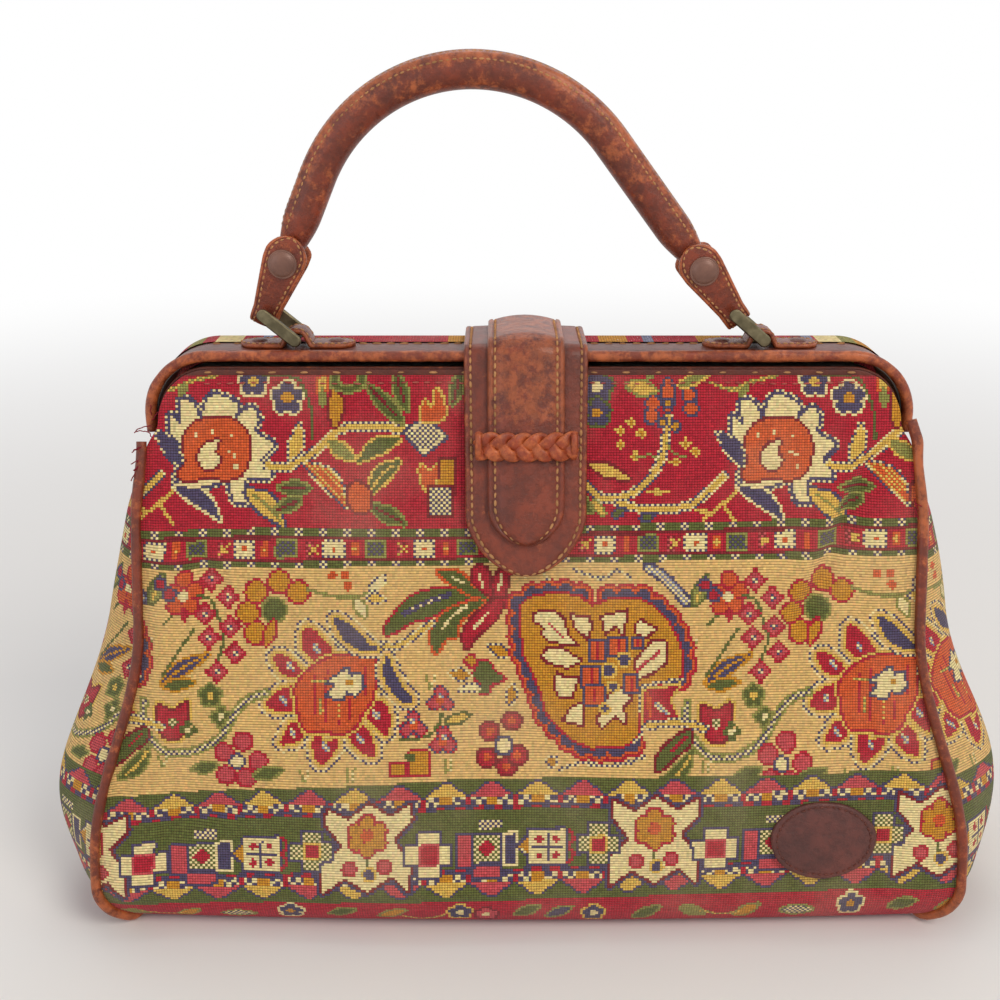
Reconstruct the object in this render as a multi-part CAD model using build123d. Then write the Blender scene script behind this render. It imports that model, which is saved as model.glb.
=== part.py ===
"""Framed carpet bag: tapestry body with piped gussets, hinged frame, strap and rolled handle.

X runs to the right, the front faces -Y and Z is up. The origin is the middle of the base.
"""
import os
from math import atan2, cos, degrees, hypot, pi, radians, sin, sqrt

from build123d import *

# Body
BAG_HEIGHT = 232.0
MOUTH_HALF = 151.0
WAIST_GAIN = 3.0
WIDEST_HALF = 175.0
WIDEST_Z = 34.0
FLARE_TOP_Z = 128.0
MOUTH_HALF_DEPTH = 17.0
BASE_HALF_DEPTH = 74.0
BELLY = 3.0
BASE_ROUND_Z = 22.0
BASE_ROUND_Y = 16.0
CORNER_ROUND_Z = 24.0
CORNER_ROUND_X = 20.0
PANEL_BOW = 4.0
LOBE_REACH = 26.0
LOBE_HEIGHT_POWER = 0.66
LOBE_SEAT = 0.52
CREASE_DEPTH = 14.0
CREASE_POWER = 0.4
CLOTH = 1.8
SEAM_GAP = 1.6
BOTTOM_LIFT = 0.3
LINING_DROP = 1.0

# Piping, base and lining
PIPING_RADIUS = 2.1
PIPING_OUT = 1.1
PIPING_BEND = 14.0
PIPING_LEVELS = [0.84, 0.72, 0.58, 0.47, 0.36, 0.25, 0.16, 0.1, 0.06, 0.035]
BASE_BOARD_THICK = 2.0
BASE_BOARD_EDGE = 6.0
LINING_THICK = 0.9
LINING_GAP = 1.7

# Frame
HINGE_DROP = 33.0
FRAME_CORNER = 24.0
STEEL = 1.5
FRAME_LEATHER = 1.6
REAR_STEEL_FRONT = -13.0
REAR_STEEL_BACK = 14.8
LEATHER_STRIP_BACK = 3.0
ROLL_RADIUS = 2.2
ROLL_OVERHANG = 2.4
ROLL_DROP = 1.2
ROLL_INSET = 1.0
STRIP_DROP = 0.4
STRIP_PROUD = 0.6
HINGE_LUG = 5.0
HINGE_PIN = 1.9
PIN_PLAY = 0.3
PIN_HEAD = 3.6
PIN_HEAD_THICK = 1.4
FRONT_BAR_THICK = 2.5
FRONT_BAR_DEPTH = 10.0
FRONT_BAR_INSET = 0.8
FRONT_EDGING = 1.9
FRONT_EDGING_WIDTH = 4.4
EDGING_PROUD = 0.9
HALF_GAP = 2.6
OPEN_ANGLE = 45.0
PARTING_MARGIN = 1.0
FIT = 0.3
LAYER_GAP = 0.1
CLOTH_SEAT = 0.2
EDGE_BREAK = 0.6

# Closing tab
TAB_X = -1.5
TAB_WIDTH = 49.0
TAB_THICK = 2.4
TAB_TIP_DROP = 82.0
TAB_POINT_HEIGHT = 30.0
TAB_STANDOFF = 3.4
TAB_BEND = 2.2
TAB_BACK_LENGTH = 15.0
TAB_FOLD_GAP = 1.6
STRAP_WIDTH = 30.0
STRAP_THICK = 2.8
STRAP_TIP_DROP = 70.0
STRAP_POINT_HEIGHT = 16.0
POINT_WIDE = 0.72
POINT_HIGH = 0.36
TAB_PIVOT_BACK = 0.6
SNAP_RADIUS = 7.0
SNAP_THICK = 1.0
SNAP_DROP = 64.0
KEEPER_DROP = 32.0
KEEPER_WIDTH = 36.0
KEEPER_SPREAD = 3.1
KEEPER_LIFT = 1.25
STRAND_RADIUS = 1.55
KEEPER_TURNS = 2
KEEPER_STEPS = 7
CORD_SIDES = 8
KEEPER_SAG = 0.5

# Handle, rings and chapes
HANDLE_Y = -2.0
CHAPE_X = 92.5
CHAPE_LENGTH = 46.0
CHAPE_WIDTH = 13.6
CHAPE_THICK = 2.0
RING_LENGTH = 15.4
RING_LEAN = 50.0
RING_BAR = 1.6
RING_PLATE_HALF = 2.5
RING_PLATE_THICK = 2.2
RING_INSIDE_HALF = 7.9
RING_LIFT = 0.8
RING_EDGE = 0.5
BAR_PLAY = 0.5
HANDLE_RADIUS = 7.2
CORE_RADIUS = 4.5
HANDLE_RISE = 91.0
LEFT_LEG_ANGLE = 66.5
RIGHT_LEG_ANGLE = 52.5
HANDLE_TOP_SLOPE = 3.0
LEFT_SHOULDER = 65.0
RIGHT_SHOULDER = 67.0
LOOP_RADIUS = 6.0
LOOP_THICK = 11.0
LOOP_EDGE = 2.0
FLAP_RADIUS = 8.4
CAP_FROM_LOOP = 22.0
CAP_RADIUS = 5.6
CAP_HEIGHT = 2.4
CAP_SLOPE = 0.7
CAP_BACK = 0.8
POST_RADIUS = 1.6

# Oval patch
PATCH_X = 118.7
PATCH_Z = 43.7
PATCH_WIDTH = 43.0
PATCH_HEIGHT = 32.0
PATCH_THICK = 1.6

HINGE_Z = BAG_HEIGHT - HINGE_DROP
LEATHER_TOP_Z = BAG_HEIGHT - STRIP_DROP
STEEL_TOP_Z = LEATHER_TOP_Z - FRAME_LEATHER - LAYER_GAP
LEATHER_HALF = MOUTH_HALF + STRIP_PROUD
STEEL_HALF = LEATHER_HALF - FRAME_LEATHER - LAYER_GAP
FRONT_BAR_TOP_Z = STEEL_TOP_Z - STEEL - HALF_GAP
FRONT_BAR_HALF = STEEL_HALF - STEEL - HALF_GAP
FRONT_BAR_Y = FRONT_BAR_INSET - MOUTH_HALF_DEPTH
ROLL_Y = REAR_STEEL_FRONT - ROLL_OVERHANG
ROLL_Z = LEATHER_TOP_Z - ROLL_DROP
ROLL_HALF = LEATHER_HALF - ROLL_INSET
TOP_CLOTH_HALF = FRONT_BAR_HALF - FIT
TAB_TIP_Z = BAG_HEIGHT - TAB_TIP_DROP
STRAP_TIP_Z = BAG_HEIGHT - STRAP_TIP_DROP
SNAP_Z = BAG_HEIGHT - SNAP_DROP
KEEPER_Z = BAG_HEIGHT - KEEPER_DROP


def smooth(t):
    t = min(max(t, 0.0), 1.0)
    return t * t * (3 - 2 * t)


def round_in(z, height, reach):
    """How far an elliptical bottom edge has drawn in at height z."""
    if z >= height:
        return 0.0
    return reach * (1 - sqrt(max(0.0, 1 - ((height - z) / height) ** 2)))


def seam_x(z):
    """Half width of the bag at its piped seams."""
    waist = MOUTH_HALF + WAIST_GAIN * smooth((HINGE_Z - z) / HINGE_DROP)
    flare = smooth((FLARE_TOP_Z - z) / (FLARE_TOP_Z - WIDEST_Z))
    return waist + (WIDEST_HALF - waist) * flare - round_in(z, CORNER_ROUND_Z, CORNER_ROUND_X)


def half_depth(z):
    """Depth of the bag in front of its middle plane, on its centre line."""
    down = (BAG_HEIGHT - z) / (BAG_HEIGHT - BASE_ROUND_Z)
    swell = BELLY * sin(pi * min(max(down, 0.0), 1.0))
    depth = MOUTH_HALF_DEPTH + (BASE_HALF_DEPTH - MOUTH_HALF_DEPTH) * min(down, 1.0)
    return depth + swell - round_in(z, BASE_ROUND_Z, BASE_ROUND_Y)


def seam_y(z):
    """Depth of the piped seam in front of the middle plane."""
    return half_depth(z) - PANEL_BOW * smooth((BAG_HEIGHT - z) / BAG_HEIGHT + 0.25)


def lobe_x(z):
    share = min(max(z / HINGE_Z, 0.0), 1.0)
    return seam_x(z) + LOBE_REACH * sin(pi * share ** LOBE_HEIGHT_POWER)


def crease_x(z):
    share = min(max(z / HINGE_Z, 0.0), 1.0)
    return lobe_x(z) - CREASE_DEPTH * share ** CREASE_POWER


def front_slope(z, step=0.5):
    """Angle of the front panel from upright, in degrees."""
    return degrees(atan2(half_depth(z - step) - half_depth(z + step), 2 * step))


BODY_LEVELS = [0.01, 0.03, 0.06, 0.1, 0.15, 0.2, 0.26, 0.33, 0.4, 0.5, 0.6, 0.7, 0.8, 0.9]

LEVEL_STEP = 0.02


def levels(bottom, top):
    between = [share * BAG_HEIGHT for share in BODY_LEVELS]
    step = (top - bottom) * LEVEL_STEP
    return [bottom] + [z for z in between if bottom + step < z < top - step] + [top]


def panel_section(z, side):
    x = seam_x(z) - SEAM_GAP
    middle, end = side * half_depth(z), side * seam_y(z)
    wall = side * CLOTH
    outer = ThreePointArc((-x, end, z), (0, middle, z), (x, end, z))
    inner = ThreePointArc((x, end - wall, z), (0, middle - wall, z), (-x, end - wall, z))
    return Face(Wire([outer, Line(outer @ 1, inner @ 0), inner, Line(inner @ 1, outer @ 0)]))


def gusset_curve(z, side, inset, end_gap):
    """Plan of a gusset at height z: two lobes with an inward crease between them."""
    x_end, y_end = seam_x(z) - inset, seam_y(z) - end_gap
    x_lobe, x_crease = lobe_x(z) - inset, crease_x(z) - inset
    return [
        (side * x_end, -y_end, z),
        (side * x_lobe, -y_end * LOBE_SEAT, z),
        (side * x_crease, 0, z),
        (side * x_lobe, y_end * LOBE_SEAT, z),
        (side * x_end, y_end, z),
    ]


def gusset_section(z, side):
    end_gap = SEAM_GAP + 2 * FIT
    outer = Spline(*gusset_curve(z, side, 0, end_gap))
    inner = Spline(*reversed(gusset_curve(z, side, CLOTH, end_gap)))
    return Face(Wire([outer, Line(outer @ 1, inner @ 0), inner, Line(inner @ 1, outer @ 0)]))


def tub_section(z, inset):
    """Closed plan of the whole bag at height z, drawn in by inset."""
    right = Spline(*gusset_curve(z, 1, inset, inset))
    left = Spline(*reversed(gusset_curve(z, -1, inset, inset)))
    rear_middle = (0, half_depth(z) - inset, z)
    front_middle = (0, inset - half_depth(z), z)
    rear = ThreePointArc(right @ 1, rear_middle, left @ 0)
    front = ThreePointArc(left @ 1, front_middle, right @ 0)
    return Face(Wire([right, rear, left, front]))


def body_loft(section, bottom, top):
    return loft([section(z) for z in levels(bottom, top)])


def hinge_drum(radius):
    drum = Cylinder(radius, 4 * MOUTH_HALF, rotation=(0, 90, 0))
    return drum.moved(Location((0, 0, HINGE_Z)))


def above(z):
    size = 4 * BAG_HEIGHT
    block = Box(size, size, size, align=(Align.CENTER, Align.CENTER, Align.MIN))
    return block.moved(Location((0, 0, z)))


def hinge_line_radius():
    """Drum on which the cloth is parted, so that the upper part turns clear of the lower."""
    rises = [share * HINGE_DROP / 10 for share in range(10)]
    nearest = min(hypot(half_depth(HINGE_Z + rise), rise) for rise in rises)
    return nearest / cos(radians(OPEN_ANGLE / 2)) + PARTING_MARGIN


PARTING = hinge_line_radius()


def largest(shape):
    return shape.solids().sort_by(SortBy.VOLUME)[-1]


def lower_panel(side):
    """Front or rear cloth below the hinge line, turned under at the base."""
    panel = body_loft(lambda z: panel_section(z, side), BOTTOM_LIFT, HINGE_Z + HINGE_LUG)
    panel = panel - hinge_drum(PARTING + FIT)
    return largest(panel - piping(-1, FIT) - piping(1, FIT))


def upper_panel(side, half, top):
    """Cloth above the hinge line, which turns with its half of the frame."""
    def section(z):
        return panel_section(z, side)

    panel = body_loft(section, HINGE_Z - HINGE_DROP, top + HINGE_LUG)
    panel = panel & (hinge_drum(PARTING) + above(HINGE_Z + HINGE_LUG))
    return panel & under_arch(half, top)


def under_arch(half, top):
    """Everything under an arch, and the full width of the cloth below its foot."""
    corner = FRAME_CORNER - (STEEL_HALF - half)
    foot = HINGE_Z + HINGE_LUG
    room = extrude(Plane.XZ * arch_face(half, top, corner, foot), 2 * BASE_HALF_DEPTH, both=True)
    skirt = Box(2 * TOP_CLOTH_HALF, 4 * BASE_HALF_DEPTH, BAG_HEIGHT,
                align=(Align.CENTER, Align.CENTER, Align.MAX))
    return room + skirt.moved(Location((0, 0, foot)))


def gusset(side):
    wall = body_loft(lambda z: gusset_section(z, side), BOTTOM_LIFT, HINGE_Z - HINGE_LUG - 2)
    return largest(wall - piping(side, FIT))


def tube(points, radius):
    """Round cord through the given points, mitred at each of them."""
    path = Polyline(*points)
    start = Plane(origin=path @ 0, z_dir=path % 0)
    return sweep(start * Circle(radius), path=path, transition=Transition.RIGHT)


def piping(side, room=0.0):
    """Covered cord along one gusset: down the front seam, under the base, up the rear."""
    run = [(seam_x(z) + PIPING_OUT, seam_y(z) + PIPING_OUT, z)
           for z in (share * BAG_HEIGHT for share in PIPING_LEVELS)]
    under_z = PIPING_RADIUS + BOTTOM_LIFT
    run.append((seam_x(under_z) + PIPING_OUT, seam_y(under_z), under_z))
    under_x = seam_x(0) - SEAM_GAP + PIPING_RADIUS + FIT
    run.append((under_x, seam_y(0) - PIPING_BEND, under_z))
    front = [(side * x, -y, z) for x, y, z in run]
    rear = [(side * x, y, z) for x, y, z in reversed(run)]
    return tube(front + rear, PIPING_RADIUS + room)


def base_panel():
    x = seam_x(0) - SEAM_GAP
    middle = half_depth(BOTTOM_LIFT) - CLOTH - 2 * FIT
    end = seam_y(BOTTOM_LIFT) - CLOTH - 2 * FIT
    front = ThreePointArc((-x, -end), (0, -middle), (x, -end))
    rear = ThreePointArc((x, end), (0, middle), (-x, end))
    sides = [Line(front @ 1, rear @ 0), Line(rear @ 1, front @ 0)]
    return extrude(Face(Wire([front, sides[0], rear, sides[1]])), CLOTH)


def base_board():
    length = 2 * (seam_x(0) - BASE_BOARD_EDGE - PIPING_RADIUS)
    width = 2 * (half_depth(0) - BASE_BOARD_EDGE)
    plate = RectangleRounded(length, width, BASE_ROUND_Y)
    return extrude(plate, BASE_BOARD_THICK).moved(Location((0, 0, CLOTH + FIT)))


def lining():
    top = HINGE_Z - PARTING - LINING_DROP
    bottom = CLOTH + BASE_BOARD_THICK + 3 * FIT
    outer_inset = CLOTH + LINING_GAP
    inner_inset = outer_inset + LINING_THICK
    outer = body_loft(lambda z: tub_section(z, outer_inset), bottom, top)
    inner = body_loft(lambda z: tub_section(z, inner_inset), bottom + LINING_THICK, top)
    return outer - inner


def arch_face(half, top, corner, foot):
    """Upright arch outline in the XZ plane, open downwards at foot."""
    outline = Polyline((-half, foot), (-half, top), (half, top), (half, foot), close=True)
    face = make_face(outline)
    corners = [v for v in face.vertices() if v.Y > top - 0.01]
    return fillet(corners, corner)


def arch(half, top, corner, thick, front, back):
    """Band bent into an arch, from y front to y back."""
    foot = HINGE_Z - 2 * HINGE_LUG
    outer = arch_face(half, top, corner, foot)
    inner = arch_face(half - thick, top - thick, corner - thick, foot - 1)
    band = extrude(Plane.XZ * (outer - inner), front - back)
    return band.moved(Location((0, front, 0)))


def side_profile(points):
    """Solid with the given outline in the YZ plane, wide enough to trim the whole bag."""
    outline = Polyline(*points, close=True)
    return extrude(Plane.YZ * make_face(outline), 4 * WIDEST_HALF, both=True)


def rear_trim():
    """Side outline of the rear half: upright in front, drawn in to the hinge behind."""
    top = BAG_HEIGHT + HINGE_LUG
    return side_profile([
        (ROLL_Y, top),
        (ROLL_Y, HINGE_Z + 2),
        (-HINGE_LUG, HINGE_Z - HINGE_LUG + 1),
        (0, HINGE_Z - HINGE_LUG),
        (HINGE_LUG, HINGE_Z - 1),
        (REAR_STEEL_BACK, HINGE_Z + 18),
        (REAR_STEEL_BACK, top),
    ])


def front_trim():
    top = BAG_HEIGHT + HINGE_LUG
    bar_back = FRONT_BAR_Y + FRONT_BAR_DEPTH
    return side_profile([
        (FRONT_BAR_Y, top),
        (FRONT_BAR_Y, HINGE_Z + 16),
        (-HINGE_LUG, HINGE_Z - 1),
        (0, HINGE_Z - HINGE_LUG),
        (HINGE_LUG, HINGE_Z),
        (bar_back, HINGE_Z + 14),
        (bar_back, top),
    ])


def rear_frame():
    band = arch(STEEL_HALF, STEEL_TOP_Z, FRAME_CORNER, STEEL, REAR_STEEL_FRONT, REAR_STEEL_BACK)
    return (band & rear_trim()) - hinge_drum(HINGE_PIN + PIN_PLAY)


def front_frame():
    corner = FRAME_CORNER - STEEL - HALF_GAP
    band = arch(FRONT_BAR_HALF, FRONT_BAR_TOP_Z, corner, FRONT_BAR_THICK,
                FRONT_BAR_Y, HINGE_LUG)
    return (band & front_trim()) - hinge_drum(HINGE_PIN + PIN_PLAY)


def rear_top_leather():
    corner = FRAME_CORNER + FRAME_LEATHER + LAYER_GAP
    band = arch(LEATHER_HALF, LEATHER_TOP_Z, corner, FRAME_LEATHER,
                ROLL_Y + ROLL_RADIUS + LAYER_GAP, LEATHER_STRIP_BACK)
    return band & rear_trim()


def rolled_edge():
    """Rolled leather edge that overhangs the front half of the frame."""
    foot = HINGE_Z + 1
    points = [
        (-ROLL_HALF, ROLL_Y, foot),
        (-ROLL_HALF, ROLL_Y, ROLL_Z),
        (ROLL_HALF, ROLL_Y, ROLL_Z),
        (ROLL_HALF, ROLL_Y, foot),
    ]
    path = FilletPolyline(*points, radius=FRAME_CORNER)
    start = Plane(origin=path @ 0, z_dir=path % 0)
    return sweep(start * Circle(ROLL_RADIUS), path=path)


def front_edging():
    """Narrow leather edging along the front bar, above the cloth."""
    back = FRONT_BAR_Y - CLOTH_SEAT
    front = back - FRONT_EDGING
    corner = FRAME_CORNER - STEEL - HALF_GAP
    band = arch(FRONT_BAR_HALF + EDGING_PROUD, FRONT_BAR_TOP_Z + EDGING_PROUD,
                corner + EDGING_PROUD, FRONT_EDGING_WIDTH, front, back)
    return band & above(HINGE_Z + HINGE_LUG)


def front_panel_top():
    inside = FRONT_EDGING_WIDTH + FIT - EDGING_PROUD
    return upper_panel(-1, FRONT_BAR_HALF - inside, FRONT_BAR_TOP_Z - inside)


def rear_panel_top():
    """Rear cloth, which turns over the back edge of the frame onto its top."""
    thin = CLOTH - CLOTH_SEAT
    seat_z = STEEL_TOP_Z + LAYER_GAP
    top = seat_z + thin
    wall = upper_panel(1, STEEL_HALF - 2 * FIT, top)
    back = half_depth(top) - CLOTH - 1.0
    length = 2 * TOP_CLOTH_HALF - 2 * FRAME_CORNER
    front = LEATHER_STRIP_BACK + CLOTH_SEAT
    over = Box(length, back - front, thin, align=(Align.CENTER, Align.MIN, Align.MAX))
    over = over.moved(Location((0, front, top)))
    bridge = Box(length, 3.0, thin, align=(Align.CENTER, Align.MIN, Align.MAX))
    bridge = bridge.moved(Location((0, back - 1.0, top)))
    steel_room = Box(4 * STEEL_HALF, 2 * (REAR_STEEL_BACK + CLOTH_SEAT), 4 * STEEL_HALF,
                     align=(Align.CENTER, Align.CENTER, Align.MAX))
    return (wall - steel_room.moved(Location((0, 0, seat_z)))) + over + bridge


def hinge_rivet(side):
    reach = STEEL_HALF
    start = FRONT_BAR_HALF - FRONT_BAR_THICK - FIT
    pin = Cylinder(HINGE_PIN, reach - start, align=(Align.CENTER, Align.CENTER, Align.MIN))
    head = Cylinder(PIN_HEAD, PIN_HEAD_THICK, align=(Align.CENTER, Align.CENTER, Align.MAX))
    head = chamfer(head.faces().sort_by(Axis.Z)[0].edges(), EDGE_BREAK)
    rivet = (pin + head).moved(Location((start, 0, HINGE_Z), (0, 90, 0)))
    return rivet if side > 0 else mirror(rivet, about=Plane.YZ)


def ribbon(points, thick, bend):
    """Solid strip with its inner face along the given YZ points and its outer face outside."""
    shifted = []
    for index, (y, z) in enumerate(points):
        before = points[max(index - 1, 0)]
        after = points[min(index + 1, len(points) - 1)]
        first = Vector(y - before[0], z - before[1]) if index else None
        second = Vector(after[0] - y, after[1] - z) if index < len(points) - 1 else None
        first = (first or second).normalized()
        second = (second or first).normalized()
        normal = Vector(first.Y, -first.X) + Vector(second.Y, -second.X)
        normal = normal.normalized()
        grow = thick / max(0.3, normal.dot(Vector(first.Y, -first.X)))
        shifted.append((y + normal.X * grow, z + normal.Y * grow))
    inner = FilletPolyline(*points, radius=bend) if len(points) > 2 else Line(*points)
    outer = FilletPolyline(*shifted, radius=bend + thick) if len(points) > 2 else Line(*shifted)
    ends = [Line(inner @ 0, outer @ 0), Line(inner @ 1, outer @ 1)]
    return Plane.YZ * make_face(inner.edges() + outer.edges() + ends)


TAB_TOP_Z = ROLL_Z + ROLL_RADIUS + FIT
TAB_PIVOT_Y = half_depth(LEATHER_TOP_Z) + TAB_PIVOT_BACK


def tab_route(lift):
    """Inner face of a layer on the tab, lifted by the layers under it."""
    snap_y = -half_depth(SNAP_Z) - TAB_STANDOFF
    edge_y = ROLL_Y - ROLL_RADIUS - FIT
    fall = (edge_y - snap_y) / (ROLL_Z - SNAP_Z)
    down = ROLL_Z - (TAB_TIP_Z - 4)
    tilt = sqrt(1 + fall * fall)
    return [
        (TAB_PIVOT_Y, TAB_TOP_Z + lift),
        (edge_y - lift * (tilt - fall) + fall * (TAB_TOP_Z - ROLL_Z), TAB_TOP_Z + lift),
        (edge_y - lift * tilt - fall * down, ROLL_Z - down),
    ]


def tab_outline(width, tip_z, point_height):
    """Front outline of the tab: parallel sides and a rounded point."""
    half = width / 2
    shoulder = tip_z + point_height
    bend_z = tip_z + point_height * POINT_HIGH
    top = BAG_HEIGHT + 4 * TAB_BEND
    left = ThreePointArc((-half, shoulder), (-half * POINT_WIDE, bend_z), (0, tip_z))
    right = ThreePointArc((0, tip_z), (half * POINT_WIDE, bend_z), (half, shoulder))
    frame = Polyline((half, shoulder), (half, top), (-half, top), (-half, shoulder))
    face = make_face(left.edges() + right.edges() + frame.edges())
    blade = extrude(Plane.XZ * face, 2 * BASE_HALF_DEPTH, both=True)
    return blade.moved(Location((TAB_X, 0, 0)))


def strip_of(route, thick, width, bend):
    strip = extrude(ribbon(route, thick, bend), width / 2, both=True)
    return strip.moved(Location((TAB_X, 0, 0)))


def closing_tab():
    strip = strip_of(tab_route(0), TAB_THICK, TAB_WIDTH, TAB_BEND)
    return strip & tab_outline(TAB_WIDTH, TAB_TIP_Z, TAB_POINT_HEIGHT)


def inner_strap():
    lift = TAB_THICK + LAYER_GAP
    strip = strip_of(tab_route(lift), STRAP_THICK, STRAP_WIDTH, TAB_BEND + lift)
    return strip & tab_outline(STRAP_WIDTH, STRAP_TIP_Z, STRAP_POINT_HEIGHT)


def tab_back():
    """Back end of the tab, sewn to the rear cloth below the edge of the frame."""
    def face_y(z):
        return half_depth(z) + CLOTH_SEAT

    top = TAB_TOP_Z - TAB_FOLD_GAP
    foot = top - TAB_BACK_LENGTH
    outer = [(face_y(foot) + TAB_THICK, foot), (face_y(foot), foot), (face_y(top), top),
             (face_y(top) + TAB_THICK, top)]
    blade = extrude(Plane.YZ * make_face(Polyline(*outer, close=True)), TAB_WIDTH / 2, both=True)
    return blade.moved(Location((TAB_X, 0, 0)))


def snap_half(under, thick):
    """Disc of the press fastener, seated a given distance in front of the panel."""
    tilt = front_slope(SNAP_Z)
    disc = Cylinder(SNAP_RADIUS, thick, align=(Align.CENTER, Align.CENTER, Align.MIN))
    disc = chamfer(disc.faces().sort_by(Axis.Z)[-1].edges(), thick / 3)
    offset = Location((0, 0, under))
    return disc.moved(Location((TAB_X, -half_depth(SNAP_Z), SNAP_Z), (90 - tilt, 0, 0)) * offset)


def tab_point(z, lift):
    """Point on the outer face of a layer of the tab at height z."""
    (_, _), (y_edge, z_edge), (y_tip, z_tip) = tab_route(lift)
    share = (z_edge - z) / (z_edge - z_tip)
    return y_edge + (y_tip - y_edge) * share


def faceted_cord(points, radius, sides):
    """Cord with flat sides through the given points, mitred at each of them."""
    spots = [Vector(*point) for point in points]
    runs = [(after - spot).normalized() for spot, after in zip(spots, spots[1:])]
    start = Plane(origin=spots[0], z_dir=runs[0])
    turns = [2 * pi * index / sides for index in range(sides)]
    rims = [[start.from_local_coords(Vector(radius * cos(a), radius * sin(a), 0)) for a in turns]]
    for run, following, spot in zip(runs, runs[1:] + runs[-1:], spots[1:]):
        mitre = (run + following).normalized()
        rims.append([p + run * ((spot - p).dot(mitre) / run.dot(mitre)) for p in rims[-1]])
    outlines = [rims[0], rims[-1]]
    for low, high in zip(rims, rims[1:]):
        for index in range(sides):
            before = index - 1
            outlines.append([low[before], low[index], high[index], high[before]])
    faces = [Face(Wire.make_polygon(outline, close=True)) for outline in outlines]
    return Solid(Shell(faces))


def braided_keeper():
    """Three-strand plait across the raised strap."""
    seat = tab_point(KEEPER_Z, TAB_THICK + LAYER_GAP + STRAP_THICK)
    clear = STRAND_RADIUS + KEEPER_LIFT + KEEPER_SAG + 2 * FIT
    slope = tab_point(KEEPER_Z + 1, 0) - tab_point(KEEPER_Z, 0)
    strands = []
    steps = KEEPER_STEPS * KEEPER_TURNS
    for strand in range(3):
        points = []
        for step in range(steps + 1):
            turn = 2 * pi * (KEEPER_TURNS * step / steps + strand / 3)
            along = KEEPER_WIDTH * (step / steps - 0.5)
            ease = KEEPER_SAG * (2 * along / KEEPER_WIDTH) ** 2
            points.append((
                TAB_X + along,
                seat - clear - KEEPER_LIFT * sin(2 * turn) + ease + slope * KEEPER_SPREAD * sin(turn),
                KEEPER_Z + KEEPER_SPREAD * sin(turn),
            ))
        strands.append(faceted_cord(points, STRAND_RADIUS, CORD_SIDES))
    return strands


def chape(side):
    """Short leather strap with round ends, arched over the foot of its ring."""
    base = LEATHER_TOP_Z
    half = CHAPE_LENGTH / 2
    disc = CHAPE_WIDTH / 2
    arch_inner = RING_BAR + BAR_PLAY
    pivot_z = ring_foot_z()
    flat = SlotOverall(CHAPE_LENGTH, CHAPE_WIDTH)
    strap = extrude(flat, CHAPE_THICK).moved(Location((0, 0, base)))
    hump = Cylinder(arch_inner + CHAPE_THICK, CHAPE_WIDTH - 1, rotation=(90, 0, 0))
    hump = hump.moved(Location((0, 0, pivot_z)))
    foot = Box(2 * (arch_inner + CHAPE_THICK), CHAPE_WIDTH - 1, pivot_z - base,
               align=(Align.CENTER, Align.CENTER, Align.MIN)).moved(Location((0, 0, base)))
    bore = Cylinder(arch_inner, CHAPE_WIDTH * 2, rotation=(90, 0, 0)).moved(Location((0, 0, pivot_z)))
    whole = (strap + hump + foot - bore) & above(base)
    return whole.moved(Location((side * CHAPE_X, HANDLE_Y, 0)))


def ring_foot_z():
    return LEATHER_TOP_Z + RING_PLATE_HALF + 2 * FIT + RING_LIFT


def ring(side):
    """Cast ring: a bar through the chape, a bar through the handle and two side plates."""
    outer = RING_INSIDE_HALF + RING_PLATE_THICK
    bars = []
    for reach in (0, RING_LENGTH):
        bar = Cylinder(RING_BAR, 2 * RING_INSIDE_HALF + 1, rotation=(90, 0, 0))
        bars.append(bar.moved(Location((0, 0, reach))))
    length = RING_LENGTH + 2 * RING_PLATE_HALF
    plate = extrude(Plane.XZ * SlotOverall(length, 2 * RING_PLATE_HALF, rotation=90),
                    RING_PLATE_THICK / 2, both=True)
    plate = chamfer(plate.edges().group_by(Axis.Y)[-1] + plate.edges().group_by(Axis.Y)[0], RING_EDGE)
    seat = outer - RING_PLATE_THICK / 2
    plates = [plate.moved(Location((0, y, RING_LENGTH / 2))) for y in (-seat, seat)]
    whole = bars[0] + bars[1] + plates[0] + plates[1]
    return whole.moved(Location((side * CHAPE_X, HANDLE_Y, ring_foot_z()), (0, -RING_LEAN, 0)))


def loop_centre(side):
    lean = radians(RING_LEAN)
    x = side * CHAPE_X - RING_LENGTH * sin(lean)
    return Vector(x, ring_foot_z() + RING_LENGTH * cos(lean))


def leg_direction(side):
    angle = radians(180 - RIGHT_LEG_ANGLE if side > 0 else LEFT_LEG_ANGLE)
    return Vector(cos(angle), sin(angle))


def handle_path():
    """Centre line of the handle in the XZ plane, from the left loop to the right."""
    left, right = loop_centre(-1), loop_centre(1)
    up_left, up_right = leg_direction(-1), leg_direction(1)
    top_left = left + up_left * (HANDLE_RISE - HANDLE_TOP_SLOPE / 2) * (1 / up_left.Y)
    top_right = right + up_right * (HANDLE_RISE + HANDLE_TOP_SLOPE / 2) * (1 / up_right.Y)
    start = left + up_left * CAP_FROM_LOOP
    end = right + up_right * CAP_FROM_LOOP
    flat = [(p.X, p.Y) for p in (start, top_left, top_right, end)]
    return Plane.XZ.offset(-HANDLE_Y) * FilletPolyline(*flat, radius=[LEFT_SHOULDER, RIGHT_SHOULDER])


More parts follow.
